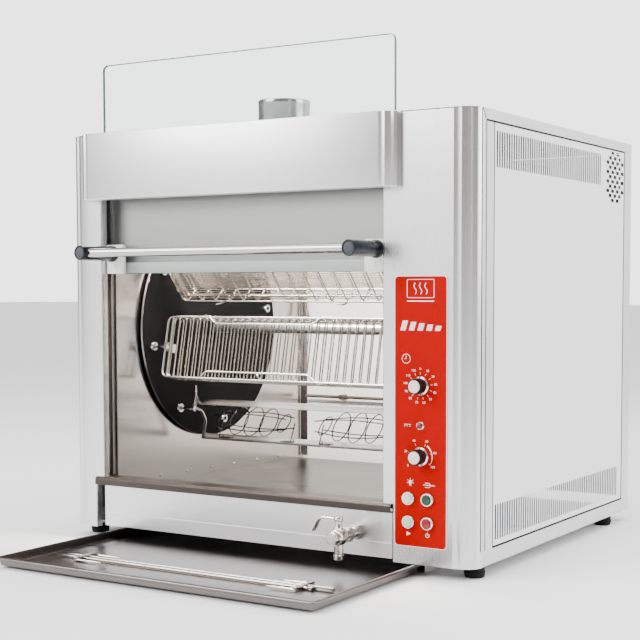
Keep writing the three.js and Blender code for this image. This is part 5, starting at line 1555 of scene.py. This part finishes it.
    def bezels(self, x, face, lamp_z, buttons):
        """Ringed bezels of the buttons and of the signal lamp, and the plate behind that carries them."""
        low, high = corners("button_block")
        parts = []
        for b in buttons:
            front = low[1] - face
            ring = [(0.0104, 0.02), (0.0104, front + 0.0008), (0.0110, front), (0.0128, front),
                    (0.0146, front + 0.0022), (0.0150, front + 0.0044), (0.0150, -0.0004),
                    (0.0119, -0.0004), (0.0119, 0.02)]
            parts.append(turned(ring, "y", (b[0], face, b[2]), 48, closed=True))
        lamp = [(0.0062, 0.015), (0.0062, -0.0035), (0.0072, -0.0042), (0.0086, -0.0030),
                (0.0098, -0.0004), (0.0068, -0.0004), (0.0068, 0.015)]
        parts.append(turned(lamp, "y", (x, face, lamp_z), 36, closed=True))
        make("button_bezels", parts, "chrome", nodes=["button_block"])
        holes = [ring_outline((b[0], b[2]), 0.0121, 24) for b in buttons]
        holes += [ring_outline((x, lamp_z), 0.0070, 20),
                  ring_outline((x, centre("regulator_knob")[2]), 0.0048, 20)]
        back = face + 0.0053
        make("button_carrier_plate", [plate(box_outline((low[0], low[2]), (x + 0.034, high[2]), 0.003),
                                            holes, "y", back, back + 0.002)], "gear")
        dome = np.linspace(0, np.pi / 2, 8)
        lens = [(0, 0.01)] + [(0.0060 * math.cos(t), -0.0022 - 0.0030 * math.sin(t)) for t in dome]
        make("signal_lamp_lens", [turned(lens, "y", (x, face, lamp_z), 32)], "lens_lamp")

    def button(self, name, finish, slot):
        """Round lens with a shallow finger dish, in a slim collar."""
        node = f"{name}_button"
        low, high = corners(node)
        x, _, z = centre(node)
        r = 0.0098
        dish = np.linspace(0, 1, 6)
        profile = [(r * 0.72 * t, low[1] + 0.0010 - 0.0008 * t * t) for t in dish]
        profile += [(r * 0.86, low[1] + 0.0001), (r * 0.96, low[1] + 0.0009), (r, low[1] + 0.0024),
                    (r, high[1]), (0, high[1])]
        make(f"{name}_button_lens", [turned(profile, "y", (x, 0, z), 40)], finish, name, [node])

    def knob(self, name):
        """Fluted grip on a skirt, with a pale cap and a pointer line."""
        node = f"{name}_knob"
        low, high = corners(node)
        x, _, z = centre(node)
        face = corners("control_panel")[0][1]
        length = face - low[1]
        turn = np.linspace(0, 2 * np.pi, 144, endpoint=False)
        profile = np.array([(0.0, 0.0012), (0.0128, 0.0012), (0.0136, 0.0004), (0.0150, 0.0006),
                            (0.0160, 0.0022), (0.0164, length - 0.006), (0.0164, length - 0.0048),
                            (0.0, length - 0.0048)])
        ribs = 0.00035 * np.abs(np.sin(12 * turn)) * (profile[:, :1] > 0.0155)
        radius = profile[:, :1] - ribs
        grid = spaced("y", x + radius * np.cos(turn), z + radius * np.sin(turn), low[1] + profile[:, 1:])
        grip = shell(grid, capped=False)
        shaft = turned([(0, length - 0.006), (0.004, length - 0.006), (0.004, high[1] - low[1]),
                        (0, high[1] - low[1])], "y",
                       (x, low[1], z), 20)
        make(f"{name}_knob_grip", [grip, shaft], "knob", name, [node], angle=45)
        skirt = turned([(0.004, length - 0.0046), (0.0165, length - 0.0046), (0.0193, length - 0.0022),
                        (0.0195, length - 0.0012), (0.004, length - 0.0012)], "y", (x, low[1], z), 56,
                        closed=True)
        make(f"{name}_knob_skirt", [skirt], "chrome", name)
        cap = turned([(0, 0.0002), (0.0120, 0.0002), (0.0130, 0.0010), (0.0130, 0.002), (0, 0.002)], "y",
                     (x, low[1], z), 48)
        make(f"{name}_knob_cap", [cap], "cream", name)
        line = rounded_slab((x - 0.0006, low[1] + length - 0.0052, z + 0.0170),
                            (x + 0.0006, low[1] + length - 0.0018, z + 0.0192), 0.0002)
        make(f"{name}_knob_pointer", [line], "knob", name)


class OVEN_OT_feet(bpy.types.Operator):
    """Make the rubber feet and the cable gland"""

    bl_idname = "oven.feet"
    bl_label = "Feet and Gland"

    def execute(self, context):
        for node in ("foot_front_left", "foot_front_right", "foot_rear_left", "foot_rear_right"):
            low, high = corners(node)
            middle = (low + high) / 2
            tall = high[2] - low[2]
            profile = [(0, 0.0), (0.0185, 0.0), (0.0205, 0.0012), (0.0222, tall * 0.42), (0.0224, tall * 0.5),
                       (0.0205, tall * 0.56), (0.0205, tall * 0.66), (0.0215, tall * 0.7), (0.0200, tall),
                       (0, tall)]
            make(f"{node}_moulded", [turned(profile, "z", (middle[0], middle[1], low[2]), 48)], "rubber",
                 nodes=[node])
        low, high = corners("cable_gland")
        x, _, z = centre("cable_gland")
        face = BACK
        nut = turned([(0.0062, face + 0.0004), (0.0138, face + 0.0004), (0.0148, face + 0.0014),
                      (0.0148, face + 0.0085), (0.0138, face + 0.0095), (0.0062, face + 0.0095)], "y",
                      (x, 0, z), 6, closed=True)
        dome_turn = np.linspace(0, np.pi / 2, 7)
        dome = [(0.0062, face + 0.009), (0.0126, face + 0.009)]
        dome += [(0.0090 + 0.0036 * math.cos(t), face + 0.0135 + 0.0045 * math.sin(t)) for t in dome_turn]
        dome += [(0.0062, face + 0.018)]
        stem = [(0.0062, face - 0.012), (0.0098, face - 0.012), (0.0098, face + 0.002),
                (0.0062, face + 0.002)]
        make("cable_gland_moulded", [nut, turned(dome, "y", (x, 0, z), 40, closed=True),
                                     turned(stem, "y", (x, 0, z), 32, closed=True)], "phenolic",
                                     nodes=["cable_gland"])
        return {"FINISHED"}


# ------------------------------------------------------------------ studio


def aim(obj, target):
    """Turns a light to face a point."""
    obj.rotation_euler = (Vector(target) - obj.location).to_track_quat("-Z", "Y").to_euler()


def softbox(name, place, target, size, power, colour=(1, 1, 1)):
    """Soft rectangular light."""
    light = bpy.data.lights.new(name, "AREA")
    light.shape = "RECTANGLE"
    light.size, light.size_y = size
    light.energy = power
    light.color = colour
    obj = bpy.data.objects.new(name, light)
    obj.location = place
    bpy.context.scene.collection.objects.link(obj)
    aim(obj, target)
    return obj


class OVEN_OT_stage(bpy.types.Operator):
    """Make the pale floor, the soft lights and the camera"""

    bl_idname = "oven.stage"
    bl_label = "Stage"

    def execute(self, context):
        reach = np.linspace(-40, 40, 21)
        x, y = np.meshgrid(reach, reach, indexing="ij")
        floor = shell(np.stack([x, y, np.zeros_like(x)], -1), wrap_columns=False, capped=False)
        mesh = bpy.data.meshes.new("studio_floor")
        mesh.from_pydata(floor[0].tolist(), [], [face[::-1] for face in floor[1]])
        paper = Finish("studio_paper")
        grain = paper.cloud(paper.where(), 300, 2)
        paper.bump(grain, 0.02, 0.0005)
        paper.set(Base_Color=paper.blend(grain, (0.90, 0.90, 0.90), (0.93, 0.93, 0.93)), Roughness=0.6)
        mesh.materials.append(paper.material)
        obj = bpy.data.objects.new("studio_floor", mesh)
        context.scene.collection.objects.link(obj)

        world = bpy.data.worlds.new("studio_air")
        context.scene.world = world
        world.use_nodes = True
        self.air(world)
        softbox("key_softbox", (-2.6, -3.6, 2.9), (0, 0, 0.5), (3.2, 2.6), 260)
        softbox("top_softbox", (0.2, 0.2, 3.6), (0, 0, 0.5), (3.4, 3.4), 130)
        softbox("side_softbox", (3.6, 1.2, 1.9), (0, 0.2, 0.5), (2.4, 2.4), 95)
        lamp = centre("cavity_lamp")
        softbox("cavity_glow", (lamp[0], lamp[1] + 0.02, lamp[2] - 0.06), (lamp[0], lamp[1] + 0.3, 0.1),
                (0.6, 0.14), 34, (1.0, 0.93, 0.84))
        self.camera(context)
        return {"FINISHED"}

    def air(self, world):
        """Even pale surround with two warm grey sides, which give the corner mouldings their dark bands."""
        tree = world.node_tree
        background = tree.nodes["Background"]
        place = tree.nodes.new("ShaderNodeTexCoord")
        shares = []
        for direction in ((0.669, -0.743, 0.0), (-0.883, 0.469, 0.0)):
            toward = tree.nodes.new("ShaderNodeVectorMath")
            toward.operation = "DOT_PRODUCT"
            toward.inputs[1].default_value = direction
            tree.links.new(place.outputs["Generated"], toward.inputs[0])
            shares.append(toward.outputs["Value"])
        nearer = tree.nodes.new("ShaderNodeMath")
        nearer.operation = "MAXIMUM"
        for share, socket in zip(shares, nearer.inputs):
            tree.links.new(share, socket)
        ramp = tree.nodes.new("ShaderNodeValToRGB")
        fill_ramp(ramp.color_ramp, [(0.0, (1.0, 1.0, 1.0, 1)), (0.47, (1.0, 1.0, 1.0, 1)),
                                    (0.62, (0.22, 0.185, 0.175, 1)), (1.0, (0.17, 0.145, 0.138, 1))])
        tree.links.new(nearer.outputs["Value"], ramp.inputs["Fac"])
        path = tree.nodes.new("ShaderNodeLightPath")
        seen = tree.nodes.new("ShaderNodeMix")
        seen.data_type = "RGBA"
        seen.inputs[7].default_value = (1.4, 1.4, 1.4, 1)
        tree.links.new(path.outputs["Is Camera Ray"], seen.inputs[0])
        tree.links.new(ramp.outputs["Color"], seen.inputs[6])
        tree.links.new(seen.outputs[2], background.inputs["Color"])
        background.inputs["Strength"].default_value = 2.3

    def camera(self, context):
        """Long lens a little above the sill, to the right of the front."""
        camera = bpy.data.cameras.new("view")
        camera.lens = 76.6
        camera.sensor_width = 36
        camera.shift_x = -0.0286
        camera.shift_y = 0.0788
        camera.clip_end = 60
        obj = bpy.data.objects.new("view", camera)
        obj.location = (1.7302, -2.7122, 0.5964)
        obj.rotation_euler = (math.radians(86.504), math.radians(0.094), math.radians(31.72))
        context.scene.collection.objects.link(obj)
        context.scene.camera = obj


class OVEN_PT_panel(bpy.types.Panel):
    """Lists the oven's sizes, colours and makers"""

    bl_idname = "OVEN_PT_panel"
    bl_label = "Rotisserie Oven"
    bl_space_type = "VIEW_3D"
    bl_region_type = "UI"
    bl_category = "Oven"

    def draw(self, context):
        for settings in (context.scene.oven_sizes, context.scene.oven_colours):
            for name in settings.__annotations__:
                self.layout.prop(settings, name)
        for operator in OPERATORS:
            self.layout.operator(operator.bl_idname)


OPERATORS = (
    OVEN_OT_posts, OVEN_OT_fascia, OVEN_OT_side_panels, OVEN_OT_cabinet, OVEN_OT_flue, OVEN_OT_door,
    OVEN_OT_carousel, OVEN_OT_carriers, OVEN_OT_tray, OVEN_OT_tap, OVEN_OT_controls, OVEN_OT_feet,
    OVEN_OT_stage, )
CLASSES = (OvenSizes, OvenColours, *OPERATORS, OVEN_PT_panel)


def register():
    for made in CLASSES:
        bpy.utils.register_class(made)
    bpy.types.Scene.oven_sizes = bpy.props.PointerProperty(type=OvenSizes)
    bpy.types.Scene.oven_colours = bpy.props.PointerProperty(type=OvenColours)


def unregister():
    del bpy.types.Scene.oven_sizes
    del bpy.types.Scene.oven_colours
    for made in reversed(CLASSES):
        bpy.utils.unregister_class(made)


def main():
    register()
    mix_finishes(bpy.context.scene.oven_colours)
    for operator in OPERATORS:
        family, name = operator.bl_idname.split(".")
        getattr(getattr(bpy.ops, family), name)()
    bpy.context.view_layer.update()


if __name__ == "__main__":
    main()
